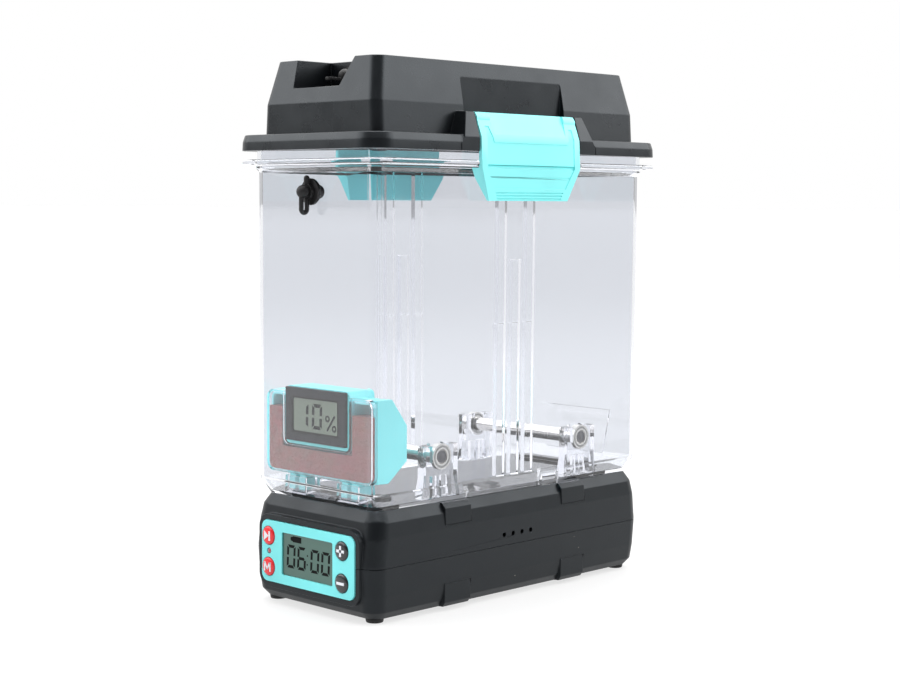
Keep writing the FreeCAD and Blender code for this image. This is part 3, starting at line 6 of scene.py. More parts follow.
import bmesh
import bpy
from mathutils import Matrix, Vector
from mathutils.bvhtree import BVHTree

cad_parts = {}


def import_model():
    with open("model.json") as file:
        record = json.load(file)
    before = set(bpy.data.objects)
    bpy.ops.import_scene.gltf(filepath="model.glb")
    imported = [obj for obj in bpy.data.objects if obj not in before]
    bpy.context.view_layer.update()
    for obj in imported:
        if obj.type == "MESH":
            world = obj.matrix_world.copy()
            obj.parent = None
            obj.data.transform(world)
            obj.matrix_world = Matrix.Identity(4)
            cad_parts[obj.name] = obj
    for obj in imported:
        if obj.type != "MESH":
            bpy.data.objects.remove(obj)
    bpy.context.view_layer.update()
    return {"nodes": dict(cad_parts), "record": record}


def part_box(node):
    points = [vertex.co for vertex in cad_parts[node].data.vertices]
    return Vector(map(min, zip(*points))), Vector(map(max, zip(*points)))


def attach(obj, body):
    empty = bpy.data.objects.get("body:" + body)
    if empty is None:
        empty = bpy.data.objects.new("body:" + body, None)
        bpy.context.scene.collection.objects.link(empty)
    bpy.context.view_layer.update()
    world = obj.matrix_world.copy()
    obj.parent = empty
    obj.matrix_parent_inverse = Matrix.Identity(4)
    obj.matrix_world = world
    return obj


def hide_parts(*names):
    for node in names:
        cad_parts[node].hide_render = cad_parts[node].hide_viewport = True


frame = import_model()
NODES = frame["nodes"]
RECORD = frame["record"]
SLOT_OF = {part["node"]: part["material_slot"] for part in RECORD["subparts"]}
BODY_OF = {node: body for body, nodes in RECORD["behaviour"]["bodies"].items() for node in nodes}
MM = 0.001

# ---------------------------------------------------------------- node-tree helpers


class Material:
    """A procedural material: a Principled shader and short calls that add nodes in front of it."""

    def __init__(self, name, color, roughness, **sockets):
        self.material = bpy.data.materials.new(name)
        self.material.use_nodes = True
        self.tree = self.material.node_tree
        self.tree.nodes.clear()
        self.output = self.tree.nodes.new("ShaderNodeOutputMaterial")
        self.shader = self.tree.nodes.new("ShaderNodeBsdfPrincipled")
        self.tree.links.new(self.shader.outputs["BSDF"], self.output.inputs["Surface"])
        self.shader.inputs["Base Color"].default_value = (*color, 1.0)
        self.shader.inputs["Roughness"].default_value = roughness
        for socket, value in sockets.items():
            self.shader.inputs[socket.replace("_", " ")].default_value = value
        self.coordinates = self.node("ShaderNodeTexCoord").outputs["Object"]

    def node(self, kind, **settings):
        node = self.tree.nodes.new(kind)
        for name, value in settings.items():
            setattr(node, name, value)
        return node

    def link(self, source, target):
        self.tree.links.new(source, target)

    def noise(self, scale, detail=3.0, roughness=0.5, stretch=(1.0, 1.0, 1.0)):
        mapping = self.node("ShaderNodeMapping")
        mapping.inputs["Scale"].default_value = stretch
        self.link(self.coordinates, mapping.inputs["Vector"])
        noise = self.node("ShaderNodeTexNoise")
        noise.inputs["Scale"].default_value = scale
        noise.inputs["Detail"].default_value = detail
        noise.inputs["Roughness"].default_value = roughness
        self.link(mapping.outputs["Vector"], noise.inputs["Vector"])
        return noise.outputs["Fac"]

    def cells(self, scale, feature="F1", randomness=1.0):
        cells = self.node("ShaderNodeTexVoronoi", feature=feature)
        cells.inputs["Scale"].default_value = scale
        cells.inputs["Randomness"].default_value = randomness
        self.link(self.coordinates, cells.inputs["Vector"])
        return cells.outputs["Distance"]

    def remap(self, value, low, high, to_low, to_high):
        remap = self.node("ShaderNodeMapRange")
        self.link(value, remap.inputs["Value"])
        limits = {"From Min": low, "From Max": high, "To Min": to_low, "To Max": to_high}
        for socket, number in limits.items():
            remap.inputs[socket].default_value = number
        return remap.outputs["Result"]

    def times(self, first, second):
        product = self.node("ShaderNodeMath", operation="MULTIPLY")
        self.link(first, product.inputs[0])
        self.link(second, product.inputs[1])
        return product.outputs["Value"]

    def mix(self, factor, first, second):
        """Colour that runs from first to second with the factor; either may be a socket or a colour."""
        mix = self.node("ShaderNodeMix", data_type="RGBA")
        self.link(factor, mix.inputs["Factor"])
        for name, value in (("A", first), ("B", second)):
            if isinstance(value, bpy.types.NodeSocket):
                self.link(value, mix.inputs[name])
            else:
                mix.inputs[name].default_value = (*value, 1.0)
        return mix.outputs["Result"]

    def paint(self, color):
        self.link(color, self.shader.inputs["Base Color"])

    def roughen(self, value):
        self.link(value, self.shader.inputs["Roughness"])

    def bump(self, height, distance, strength=1.0, normal=None):
        bump = self.node("ShaderNodeBump")
        bump.inputs["Distance"].default_value = distance
        bump.inputs["Strength"].default_value = strength
        self.link(height, bump.inputs["Height"])
        if normal is not None:
            self.link(normal, bump.inputs["Normal"])
        self.link(bump.outputs["Normal"], self.shader.inputs["Normal"])
        return bump.outputs["Normal"]


def shade(color, factor):
    return tuple(min(1.0, channel * factor) for channel in color)


def moulded(name, color, roughness, grain=0.03, specks=0.0, **sockets):
    """Moulded plastic: a fine spark-eroded grain, slow changes of tone, and a few dust specks."""
    made = Material(name, color, roughness, **sockets)
    tone = made.remap(made.noise(14.0, 2.0), 0.3, 0.7, 0.0, 1.0)
    colour = made.mix(tone, shade(color, 0.9), shade(color, 1.1))
    if specks:
        spots = made.remap(made.cells(130.0), 0.045, 0.03, 0.0, 1.0)
        rare = made.remap(made.noise(45.0, 1.0), 0.6, 0.62, 0.0, specks)
        colour = made.mix(made.times(spots, rare), colour, (0.5, 0.47, 0.42))
    made.paint(colour)
    made.roughen(made.remap(made.noise(60.0, 4.0), 0.3, 0.7, roughness - 0.05, roughness + 0.05))
    fine = made.noise(2600.0, 2.0)
    coarse = made.bump(made.noise(900.0, 3.0), grain * MM)
    made.bump(fine, grain * MM, 0.7, coarse)
    return made.material


# The clear tint carries a painted shade: it is darker towards the foot of the box and lightens with
# height.
CLEAR_SHADE_FADE = (80.0 * MM, 240.0 * MM)  # heights between which the tint lightens
CLEAR_FOOT_SHADE = 0.945  # the tint's share of the full colour at the lower height


def clear(name, color, roughness):
    """Clear moulded plastic: it refracts what is behind it, and its tint carries a painted shade that
    darkens it towards its foot.

    It lets shadow and reflection rays straight through, so that what is inside stays lit."""
    made = Material(name, color, roughness, Transmission_Weight=1.0, IOR=1.49, Specular_IOR_Level=0.12)
    place = made.node("ShaderNodeSeparateXYZ")
    made.link(made.coordinates, place.inputs["Vector"])
    # painted shade: the tint darkens towards the foot
    painted_shade_fade = made.remap(place.outputs["Z"], *CLEAR_SHADE_FADE, 0.0, 1.0)
    made.paint(made.mix(painted_shade_fade, shade(color, CLEAR_FOOT_SHADE), color))
    made.roughen(made.remap(made.noise(90.0, 3.0), 0.35, 0.75, roughness * 0.5, roughness * 1.6))
    made.bump(made.noise(38.0, 2.0), 0.02 * MM, 0.5)
    paths = made.node("ShaderNodeLightPath")
    through = made.node("ShaderNodeBsdfTransparent")
    through.inputs["Color"].default_value = (0.98, 0.983, 0.995, 1.0)
    surface = made.shader.outputs["BSDF"]
    for kind in ("Is Shadow Ray", "Is Reflection Ray"):
        mix = made.node("ShaderNodeMixShader")
        made.link(paths.outputs[kind], mix.inputs["Fac"])
        made.link(surface, mix.inputs[1])
        made.link(through.outputs["BSDF"], mix.inputs[2])
        surface = mix.outputs["Shader"]
    made.link(surface, made.output.inputs["Surface"])
    return made.material


def metal(name, color, roughness, stretch, scale=400.0):
    """Turned or drawn metal: fine lines across the part and a slightly uneven polish."""
    made = Material(name, color, roughness, Metallic=1.0)
    lines = made.noise(scale, 3.0, 0.6, stretch)
    made.paint(made.mix(made.remap(lines, 0.3, 0.7, 0.0, 1.0), shade(color, 0.88), color))
    made.roughen(made.remap(lines, 0.3, 0.7, roughness * 0.7, roughness * 1.3))
    made.bump(lines, 0.01 * MM, 0.6)
    return made.material


def rubber(name, color, roughness):
    """Soft rubber: a matt skin with slow changes of tone."""
    made = Material(name, color, roughness, Specular_IOR_Level=0.35)
    tone = made.remap(made.noise(120.0), 0.3, 0.7, 0.0, 1.0)
    made.paint(made.mix(tone, shade(color, 0.8), shade(color, 1.25)))
    made.bump(made.noise(1500.0, 2.0), 0.03 * MM)
    return made.material


def lcd(name, color, roughness):
    """A liquid crystal behind a smooth window: an even field with a faint pixel mesh."""
    made = Material(name, color, roughness, Coat_Weight=0.6, Coat_Roughness=0.06)
    tone = made.remap(made.noise(22.0, 1.0), 0.35, 0.65, 0.0, 1.0)
    field = made.mix(tone, shade(color, 0.9), shade(color, 1.08))
    grain = made.remap(made.noise(2400.0, 1.0), 0.3, 0.7, 0.0, 0.25)
    made.paint(made.mix(grain, field, shade(color, 0.8)))
    return made.material


def gel(name, rose, tan):
    """Silica gel: dusty rose beads that turn tan in patches."""
    made = Material(name, rose, 0.42, Specular_IOR_Level=0.4)
    patches = made.remap(made.noise(42.0, 3.0, 0.6), 0.42, 0.6, 0.0, 1.0)
    cells = made.node("ShaderNodeTexVoronoi")
    cells.inputs["Scale"].default_value = 420.0
    made.link(made.coordinates, cells.inputs["Vector"])
    split = made.node("ShaderNodeSeparateColor")
    made.link(cells.outputs["Color"], split.inputs["Color"])
    base = made.mix(patches, rose, tan)
    each = made.mix(made.remap(split.outputs["Red"], 0.0, 1.0, 0.0, 0.5), base, shade(rose, 1.5))
    made.paint(made.mix(made.remap(split.outputs["Green"], 0.0, 1.0, 0.0, 0.45), each, shade(tan, 0.55)))
    made.bump(made.cells(480.0), 0.5 * MM, 0.6)
    return made.material


def board(name, color):
    """A circuit board: solder mask over a faint pattern of tracks."""
    made = Material(name, color, 0.3, Coat_Weight=0.5)
    tracks = made.node("ShaderNodeTexBrick")
    tracks.inputs["Scale"].default_value = 240.0
    made.link(made.coordinates, tracks.inputs["Vector"])
    made.paint(made.mix(made.remap(tracks.outputs["Fac"], 0.0, 1.0, 0.0, 0.5), color, shade(color, 1.9)))
    made.bump(tracks.outputs["Fac"], 0.03 * MM)
    return made.material


TEAL = (0.255, 0.9, 0.91)
COOL_SHEEN = (0.85, 0.93, 1.0, 1.0)
LOOKS = {
    "shell_black": moulded(
        "shell_black", (0.004, 0.005, 0.0062), 0.38, 0.035, 0.9,
        Specular_IOR_Level=0.34, Specular_Tint=COOL_SHEEN,
    ),
    "lid_black": moulded(
        "lid_black", (0.0045, 0.0055, 0.0068), 0.3, 0.03, 0.5,
        Specular_IOR_Level=0.44, Specular_Tint=COOL_SHEEN,
    ),
    "clear_plastic": clear("clear_plastic", (0.822, 0.838, 0.873), 0.02),
    "clear_inner": clear("clear_inner", (0.94, 0.945, 0.975), 0.03),
    "teal_plastic": moulded("teal_plastic", TEAL, 0.38, 0.012),
    "teal_panel": moulded("teal_panel", (0.2, 0.8, 0.82), 0.42, 0.012),
    "red_button": moulded("red_button", (0.85, 0.018, 0.025), 0.25, 0.004, Coat_Weight=0.15),
    "black_button": moulded("black_button", (0.012, 0.013, 0.015), 0.25, 0.004, Coat_Weight=0.4),
    "lcd_glass": lcd("lcd_glass", (0.03, 0.105, 0.08), 0.4),
    "gauge_black": moulded("gauge_black", (0.009, 0.01, 0.016), 0.45, 0.012, Specular_IOR_Level=0.22),
    "rubber_black": rubber("rubber_black", (0.012, 0.012, 0.013), 0.55),
    "gasket_grey": rubber("gasket_grey", (0.22, 0.22, 0.22), 0.7),
    "steel": metal("steel", (0.74, 0.72, 0.70), 0.22, (1.0, 0.05, 0.05), 900.0),
    "chrome_steel": metal("chrome_steel", (0.62, 0.61, 0.58), 0.2, (8.0, 1.0, 1.0)),
    "screw_steel": metal("screw_steel", (0.55, 0.55, 0.56), 0.3, (1.0, 1.0, 1.0)),
    "shield_metal": metal("shield_metal", (0.3, 0.3, 0.29), 0.34, (4.0, 1.0, 1.0)),
    "gel_beads": gel("gel_beads", (0.3, 0.05, 0.05), (0.26, 0.1, 0.055)),
    "circuit_green": board("circuit_green", (0.02, 0.12, 0.05)),
    "duct_grey": moulded("duct_grey", (0.22, 0.23, 0.24), 0.5),
    "fan_black": moulded("fan_black", (0.02, 0.02, 0.022), 0.45),
    "heater_aluminium": metal("heater_aluminium", (0.75, 0.76, 0.77), 0.35, (1.0, 6.0, 1.0)),
    "wire_red": rubber("wire_red", (0.5, 0.02, 0.02), 0.45),
    "led_red": moulded("led_red", (0.42, 0.08, 0.09), 0.2, 0.003, Coat_Weight=0.6),
    "cutout_metal": metal("cutout_metal", (0.5, 0.5, 0.48), 0.35, (1.0, 1.0, 1.0)),
}
GAUGE_LCD = lcd("gauge_lcd", (0.17, 0.22, 0.155), 0.4)
INK = moulded("lcd_ink", (0.003, 0.004, 0.004), 0.6, 0.002, Specular_IOR_Level=0.1)
PRINT = moulded("button_print", (0.82, 0.84, 0.9), 0.4, 0.003)
SHAFT_END = moulded("shaft_end", (0.045, 0.045, 0.055), 0.5, 0.02)

# ---------------------------------------------------------------- mesh helpers


def add_piece(name, mesh, body, slot, *materials):
    """A new piece that rides on a body and takes its finish from a slot."""
    piece = bpy.data.objects.new(name, mesh)
    bpy.context.scene.collection.objects.link(piece)
    for material in materials or (LOOKS[slot],):
        mesh.materials.append(material)
    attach(piece, body)
    return piece


def soften(piece, sharp=40.0):
    """Smooth shading that keeps broad faces flat."""
    for polygon in piece.data.polygons:
        polygon.use_smooth = True
    piece.data.set_sharp_from_angle(angle=math.radians(sharp))
    weighted = piece.modifiers.new("weighted", "WEIGHTED_NORMAL")
    weighted.keep_sharp = True
    weighted.weight = 90


HOUSINGS = ("base_lower_shell", "base_upper_shell", "container_shell", "lid_shell")
OPEN_MOUTHED = ("container_shell", "desiccant_case")
BREAK_ANGLE = 5.0  # degrees between two faces of a housing's side that still show as an edge
BROAD_FACE = 4.0 * MM * MM
RING_CORNERS = 8
RING_SHARE = 0.15  # of the square on the diagonal of the box around a face


def is_side_break(edge):
    """True for a level edge between two broad faces that both look outwards."""
    first, second = edge.verts
    if abs(first.co.z - second.co.z) > 0.04 * edge.calc_length():
        return False
    outwards = Vector((first.co.x * 2.2, first.co.y, 0.0)).normalized()
    return all(
        face.calc_area() > BROAD_FACE and face.normal.dot(outwards) > 0.5 for face in edge.link_faces
    )


def is_ring(face):
    """True for a flat face that runs round an opening, so it covers little of the box around it."""
    low = Vector([min(vertex.co[axis] for vertex in face.verts) for axis in range(3)])
    high = Vector([max(vertex.co[axis] for vertex in face.verts) for axis in range(3)])
    return len(face.verts) > RING_CORNERS and face.calc_area() < RING_SHARE * (high - low).length_squared


def refined(node, width, segments=2, least_angle=24.0):
    """A copy of a CAD node with its triangles merged into faces and its edges moulded round.

    On a housing the level edges count from a gentle angle on, because they are breaks in its sides.
    A face that runs round an open mouth is split first, so that it can't close over the mouth."""
    bm = bmesh.new()
    bm.from_mesh(NODES[node].data)
    surface = BVHTree.FromBMesh(bm)
    bmesh.ops.remove_doubles(bm, verts=bm.verts, dist=0.002 * MM)
    bmesh.ops.dissolve_limit(
        bm, angle_limit=math.radians(0.4), verts=bm.verts, edges=bm.edges, use_dissolve_boundaries=False
    )
    if node in OPEN_MOUTHED:
        bmesh.ops.triangulate(bm, faces=[face for face in bm.faces if is_ring(face)])
    edges = []
    for edge in bm.edges:
        if len(edge.link_faces) != 2 or edge.calc_length() < 0.15 * MM:
            continue
        angle = math.degrees(edge.calc_face_angle(0.0))
        if angle > least_angle or (node in HOUSINGS and angle > BREAK_ANGLE and is_side_break(edge)):
            edges.append(edge)
    bmesh.ops.bevel(
        bm, geom=edges, offset=width * MM, segments=segments, profile=0.5, affect="EDGES",
        offset_type="OFFSET", clamp_overlap=False, loop_slide=True,
        miter_outer="ARC", miter_inner="SHARP",
    )
    for vertex in bm.verts:
        nearest, _, _, gap = surface.find_nearest(vertex.co)
        if gap > 0.75 * width * MM:
            vertex.co = nearest
    mesh = bpy.data.meshes.new(f"{node}_moulded")
    bm.to_mesh(mesh)
    bm.free()
    for layer in [a.name for a in mesh.attributes if a.name == "custom_normal"]:
        mesh.attributes.remove(mesh.attributes[layer])
    piece = add_piece(f"{node}_moulded", mesh, BODY_OF[node], SLOT_OF[node])
    soften(piece)
    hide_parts(node)
    return piece


def lathe(bm, profile, centre, axis, steps=48, material=0):
    """A closed surface of revolution; profile is (radius, distance along the axis) from pole to pole."""
    turn = Vector((0.0, 0.0, 1.0)).rotation_difference(Vector(axis)).to_matrix()
    rings = []
    for radius, along in profile:
        if radius == 0.0:
            rings.append([bm.verts.new(turn @ Vector((0.0, 0.0, along * MM)) + Vector(centre))])
            continue
        ring = []
        for step in range(steps):
            angle = 2.0 * math.pi * step / steps
            point = Vector((radius * MM * math.cos(angle), radius * MM * math.sin(angle), along * MM))
            ring.append(bm.verts.new(turn @ point + Vector(centre)))
        rings.append(ring)
    for first, second in zip(rings, rings[1:]):
        for step in range(steps):
            following = (step + 1) % steps
            corners = []
            for ring, index in ((first, step), (first, following), (second, following), (second, step)):
                vertex = ring[index % len(ring)]
                if vertex not in corners:
                    corners.append(vertex)
            bm.faces.new(corners).material_index = material


def raised(bm, outline, height, back, depth, material=0):
    """A flat shape in the XZ plane, raised towards -Y: outline is (x, z), height lifts its face."""
    front = [bm.verts.new((x * MM, back - height * MM, z * MM)) for x, z in outline]
    rear = [bm.verts.new((x * MM, back + depth * MM, z * MM)) for x, z in outline]
    count = len(outline)
    faces = [bm.faces.new(front), bm.faces.new(rear[::-1])]
    for index in range(count):
        following = (index + 1) % count
        faces.append(bm.faces.new((front[following], front[index], rear[index], rear[following])))
    for face in faces:
        face.material_index = material


def finish_mesh(bm, name):
    """The mesh of a finished bmesh, its faces turned outwards."""
    bmesh.ops.recalc_face_normals(bm, faces=bm.faces)
    mesh = bpy.data.meshes.new(name)
    bm.to_mesh(mesh)
    bm.free()
    return mesh


def bar(start, end, half_width):
    """A straight stroke with square ends between two points, as a four-sided outline."""
    start, end = Vector(start), Vector(end)
    along = (end - start).normalized() * half_width
    across = Vector((-along.y, along.x))
    return [tuple(start + across), tuple(end + across), tuple(end - across), tuple(start - across)]


# ---------------------------------------------------------------- carried-over nodes

# The widths of the edges of the nodes that are moulded round; the other nodes only take their look.
MOULDED = {
    "base_lower_shell": 0.45, "base_upper_shell": 0.45, "panel_bezel": 0.3, "container_shell": 0.35,
    "lid_shell": 0.45, "latch_right": 0.14, "latch_left": 0.14, "desiccant_case": 0.3,
    "desiccant_cover": 0.3, "hygrometer_body": 0.35, "case_clips": 0.25, "bearing_posts": 0.25,
    "outlet_grommet": 0.2, "lid_grommet": 0.2, "lid_stopper": 0.25, "rubber_feet": 0.3,
    "power_jack": 0.2, "lid_gasket": 0.4,
}
for node, obj in NODES.items():
    if node in MOULDED:
        refined(node, MOULDED[node])
        continue
    look = GAUGE_LCD if node == "hygrometer_display" else LOOKS[SLOT_OF[node]]
    obj.data.materials.clear()
    obj.data.materials.append(look)

# ---------------------------------------------------------------- buttons and lamp

CAP_STROKES = {
    "play": [[(-2.6, -2.6), (-2.6, 2.6), (1.0, 0.0)], bar((1.75, -2.6), (1.75, 2.6), 0.62)],
    "mode": [
        bar((-2.3, -2.5), (-2.3, 2.5), 0.5), bar((2.3, -2.5), (2.3, 2.5), 0.5),
        bar((-2.1, 2.4), (0.0, -1.3), 0.5), bar((2.1, 2.4), (0.0, -1.3), 0.5),
    ],
    "plus": [bar((-2.9, 0.0), (2.9, 0.0), 0.72), bar((0.0, -2.9), (0.0, 2.9), 0.72)],
    "minus": [bar((-2.9, 0.0), (2.9, 0.0), 0.72)],
}


def button(name):
    node = f"button_{name}"
    low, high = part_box(node)
    centre = (low + high) / 2
    depth = (high.y - low.y) / MM
    flange = (high.x - low.x) / 2 / MM
    cap = flange - 1.2
    bm = bmesh.new()
    profile = [(0.0, 0.0), (cap * 0.35, 0.04), (cap * 0.62, 0.14), (cap * 0.82, 0.34),
               (cap * 0.94, 0.62), (cap, 1.05), (cap, depth - 1.3), (flange, depth - 1.2),
               (flange, depth), (0.0, depth)]
    lathe(bm, profile, (centre.x, low.y, centre.z), (0.0, 1.0, 0.0))
    for stroke in CAP_STROKES[name]:
        outline = [(centre.x / MM + x, centre.z / MM + z) for x, z in stroke]
        raised(bm, outline, 0.08, low.y, 0.5, 1)
    slot = SLOT_OF[node]
    piece = add_piece(f"{node}_cap", finish_mesh(bm, node), BODY_OF[node], slot, LOOKS[slot], PRINT)
    soften(piece, 50.0)
    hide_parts(node)


for name in CAP_STROKES:
    button(name)


def status_lamp():
    low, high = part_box("status_led")
    centre = (low + high) / 2
    depth = (high.y - low.y) / MM
    bm = bmesh.new()
    profile = [(0.0, -0.25), (0.6, -0.2), (1.1, 0.0), (1.42, 0.4), (1.5, 0.9), (1.5, 2.3), (1.9, 2.4),
               (1.9, depth), (0.0, depth)]
    lathe(bm, profile, (centre.x, low.y, centre.z), (0.0, 1.0, 0.0), 32)
    piece = add_piece("status_lamp", finish_mesh(bm, "status_lamp"), "dock", "led_red")
    soften(piece, 50.0)
    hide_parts("status_led")


status_lamp()

# ---------------------------------------------------------------- displays

SEGMENTS = {"0": "abcdef", "1": "bc", "6": "acdefg"}
PRINT_RISE = 0.03
PRINT_DEPTH = 0.05
COLON = 0.45  # half the side of each of the colon's dots


def segment_outlines(digit, width, height, thick):
    """The bars of a seven-segment digit, its low left corner at the origin, with bevelled ends."""
    t, gap = thick, thick * 0.1
    half = height / 2
    level = {"d": 0.0, "g": half, "a": height}
    outlines = []
    for segment in SEGMENTS[digit]:
        if segment in level:
            z = level[segment]
            if segment == "g":
                outlines.append([
                    (gap + t * 0.5, z), (gap + t, z + t / 2), (width - gap - t, z + t / 2),
                    (width - gap - t * 0.5, z), (width - gap - t, z - t / 2), (gap + t, z - t / 2),
                ])
            else:
                inward = t if segment == "d" else -t
                outlines.append([
                    (gap + t * 0.3, z), (width - gap - t * 0.3, z),
                    (width - gap - t, z + inward), (gap + t, z + inward),
                ])
        else:
            left = segment in "fe"
            outer = 0.0 if left else width
            inner = t if left else width - t
            low, high = (half, height) if segment in "fb" else (0.0, half)
            bottom_cut = t * 0.3 if segment in "fb" else t
            top_cut = t * 0.3 if segment in "ec" else t
            outlines.append([
                (outer, low + gap + (bottom_cut if segment in "fb" else 0.35 * t)),
                (outer, high - gap - (top_cut if segment in "ec" else 0.35 * t)),
                (inner, high - gap - top_cut),
                (inner, low + gap + bottom_cut),
            ])
    return outlines


def printed(bm, outline, face):
    """A shape that lies on a display's face."""
    raised(bm, outline, PRINT_RISE, face, PRINT_DEPTH)


def write_digits(bm, text, left, low, width, height, thick, pitch, lean, face):
    """Digits of one height along a line; lean tips them to the right as they rise."""
    x = left
    for digit in text:
        if digit == ":":
            for z in (low + height * 0.3, low + height * 0.68):
                centre = x - pitch * 0.06 + lean * (z - low)
                dot = [(centre - COLON, z - COLON), (centre - COLON, z + COLON),
                       (centre + COLON, z + COLON), (centre + COLON, z - COLON)]
                printed(bm, dot, face)
            x += pitch * 0.24
            continue
        for outline in segment_outlines(digit, width, height, thick):
            printed(bm, [(x + px + lean * pz, low + pz) for px, pz in outline], face)
        x += pitch


def timer_display():
    """The digits of the timer, with the small solid symbol above them."""
    low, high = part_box("display_window")
    centre_x = (low.x + high.x) / 2 / MM
    bottom = low.z / MM
    face = low.y - 0.01 * MM
    bm = bmesh.new()
    write_digits(
        bm, "06:00", centre_x - 17.4, bottom + 4.5,
        width=6.9, height=12.6, thick=1.6, pitch=8.6, lean=0.05, face=face,
    )
    block = [(-12.2, 36.4), (-5.3, 36.4), (-5.3, 39.6), (-12.2, 39.6), (-12.2, 39.2), (-13.1, 39.2),
             (-14.1, 38.6), (-14.1, 37.4), (-13.1, 36.8), (-12.2, 36.8)]
    printed(bm, block, face)
    add_piece("timer_digits", finish_mesh(bm, "timer_digits"), "dock", "lcd_glass", INK)


def humidity_display():
    """The humidity, with a percent sign made of a stroke and two rings."""
    low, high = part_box("hygrometer_display")
    left, bottom = low.x / MM, low.z / MM
    face = low.y - 0.01 * MM
    bm = bmesh.new()
    write_digits(
        bm, "10", left + 4.0, bottom + 2.0,
        width=8.0, height=13.6, thick=1.9, pitch=11.0, lean=0.03, face=face,
    )
    percent_x, percent_z = left + 26.0, bottom + 1.9
    stroke = bar((1.3, 0.2), (7.4, 8.4), 0.62)
    printed(bm, [(percent_x + px, percent_z + pz) for px, pz in stroke], face)
    steps = 24
    for ring_x, ring_z in ((1.6, 6.6), (6.9, 1.6)):
        for step in range(steps):
            angles = [2.0 * math.pi * (step + k) / steps for k in (0, 1)]
            outline = []
            for radius, order in ((1.8, (0, 1)), (0.8, (1, 0))):
                for k in order:
                    outline.append((percent_x + ring_x + radius * math.cos(angles[k]),
                                    percent_z + ring_z + radius * math.sin(angles[k])))
            printed(bm, outline, face)
    add_piece("humidity_digits", finish_mesh(bm, "humidity_digits"), "desiccant", "lcd_glass", INK)


def window_frame():
    """The dark step around the gauge's window."""
    low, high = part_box("hygrometer_display")
    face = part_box("hygrometer_body")[0].y
    step = 1.1
    inner, outer = [
        [(left, bottom), (right, bottom), (right, top), (left, top)]
        for left, bottom, right, top in (
            (low.x / MM, low.z / MM, high.x / MM, high.z / MM),
            (low.x / MM - step, low.z / MM - step, high.x / MM + step, high.z / MM + step),
        )
    ]
    bm = bmesh.new()
    for side in range(4):
        after = (side + 1) % 4
        raised(bm, [outer[side], outer[after], inner[after], inner[side]], 0.02, face, PRINT_DEPTH)
    mesh = finish_mesh(bm, "gauge_window_frame")
    add_piece("gauge_window_frame", mesh, "desiccant", "gauge_black", INK)


timer_display()
humidity_display()
window_frame()

# ---------------------------------------------------------------- silica gel


def gel_beads():
    """Small beads half sunk in the gel's front, in staggered rows that stop short of the gauge."""
    low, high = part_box("desiccant_beads")
    gauge_low, gauge_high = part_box("hygrometer_body")
    rng = random.Random(7)
    radius = 0.85
    pitch = 1.45
    jitter = 0.5
    side_room, low_room = 4.6 + radius, 4.0 + radius
    bm = bmesh.new()
    row = 0
    z = low.z / MM + radius + 0.8
    while z < high.z / MM - 0.2:
        x = low.x / MM + radius + (pitch / 2 if row % 2 else 0.0)
        while x < high.x / MM - radius:
            near_gauge = (gauge_low.x / MM - side_room < x < gauge_high.x / MM + side_room
                          and z > gauge_low.z / MM - low_room)
            if not near_gauge:
                size = radius * rng.uniform(0.72, 1.08)
                sunk = low.y / MM + size * rng.uniform(0.75, 1.0)
                bead_x = x + rng.uniform(-jitter, jitter)
                bead_z = z + rng.uniform(-jitter, jitter)
                place = Matrix.Translation(Vector((bead_x, sunk, bead_z)) * MM)
                bmesh.ops.create_icosphere(bm, subdivisions=2, radius=size * MM, matrix=place)
            x += pitch
        z += pitch * 0.87
        row += 1
    mesh = finish_mesh(bm, "gel_beads")
    for polygon in mesh.polygons:
        polygon.use_smooth = True
    add_piece("gel_beads", mesh, "desiccant", "gel_beads")


gel_beads()

# ---------------------------------------------------------------- roller ends


def roller_ends():
    """The turned end faces of both shafts, with a centre mark and a rounded rim."""
    profile = [(0.0, 0.2), (1.2, 0.2), (1.5, 0.05), (2.6, 0.05),
               (3.2, 0.22), (3.45, 0.1), (3.45, -0.2), (0.0, -0.2)]
    for axle in ("front", "rear"):
        name = f"roller_ends_{axle}"
        low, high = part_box(f"shaft_{axle}")
        centre = (low + high) / 2
        bm = bmesh.new()
        for side, x in ((-1.0, low.x), (1.0, high.x)):
            lathe(bm, profile, (x, centre.y, centre.z), (side, 0.0, 0.0), 40)
        piece = add_piece(name, finish_mesh(bm, name), f"roller_{axle}", "steel", SHAFT_END)
        soften(piece)


roller_ends()

# ---------------------------------------------------------------- studio


def floor():
    """A plain pale sweep, far wider than the view."""
    bm = bmesh.new()
    rings, steps, reach = 24, 96, 60.0
    previous = [bm.verts.new((0.0, 0.0, 0.0))]
    for ring in range(1, rings + 1):
        radius = reach * (ring / rings) ** 3
        current = []
        for step in range(steps):
            angle = 2.0 * math.pi * step / steps
            current.append(bm.verts.new((radius * math.cos(angle), radius * math.sin(angle), 0.0)))
        for step in range(steps):
            following = (step + 1) % steps
            if ring == 1:
                bm.faces.new((previous[0], current[step], current[following]))
            else:
                bm.faces.new((previous[step], current[step], current[following], previous[following]))
        previous = current
    mesh = finish_mesh(bm, "studio_floor")
    made = Material("studio_floor", (0.2, 0.2, 0.2), 0.75, Specular_IOR_Level=0.2)
    tone = made.remap(made.noise(3.0, 2.0), 0.3, 0.7, 0.0, 1.0)
    made.paint(made.mix(tone, (0.198, 0.198, 0.198), (0.202, 0.202, 0.202)))
    made.shader.inputs["Emission Color"].default_value = (1.0, 1.0, 1.0, 1.0)
    away = made.node("ShaderNodeVectorMath", operation="LENGTH")
    made.link(made.coordinates, away.inputs[0])
    glow = made.remap(away.outputs["Value"], 0.15, 1.6, 0.72, 0.7)
    made.link(glow, made.shader.inputs["Emission Strength"])
    mesh.materials.append(made.material)
    piece = bpy.data.objects.new("studio_floor", mesh)
    bpy.context.scene.collection.objects.link(piece)


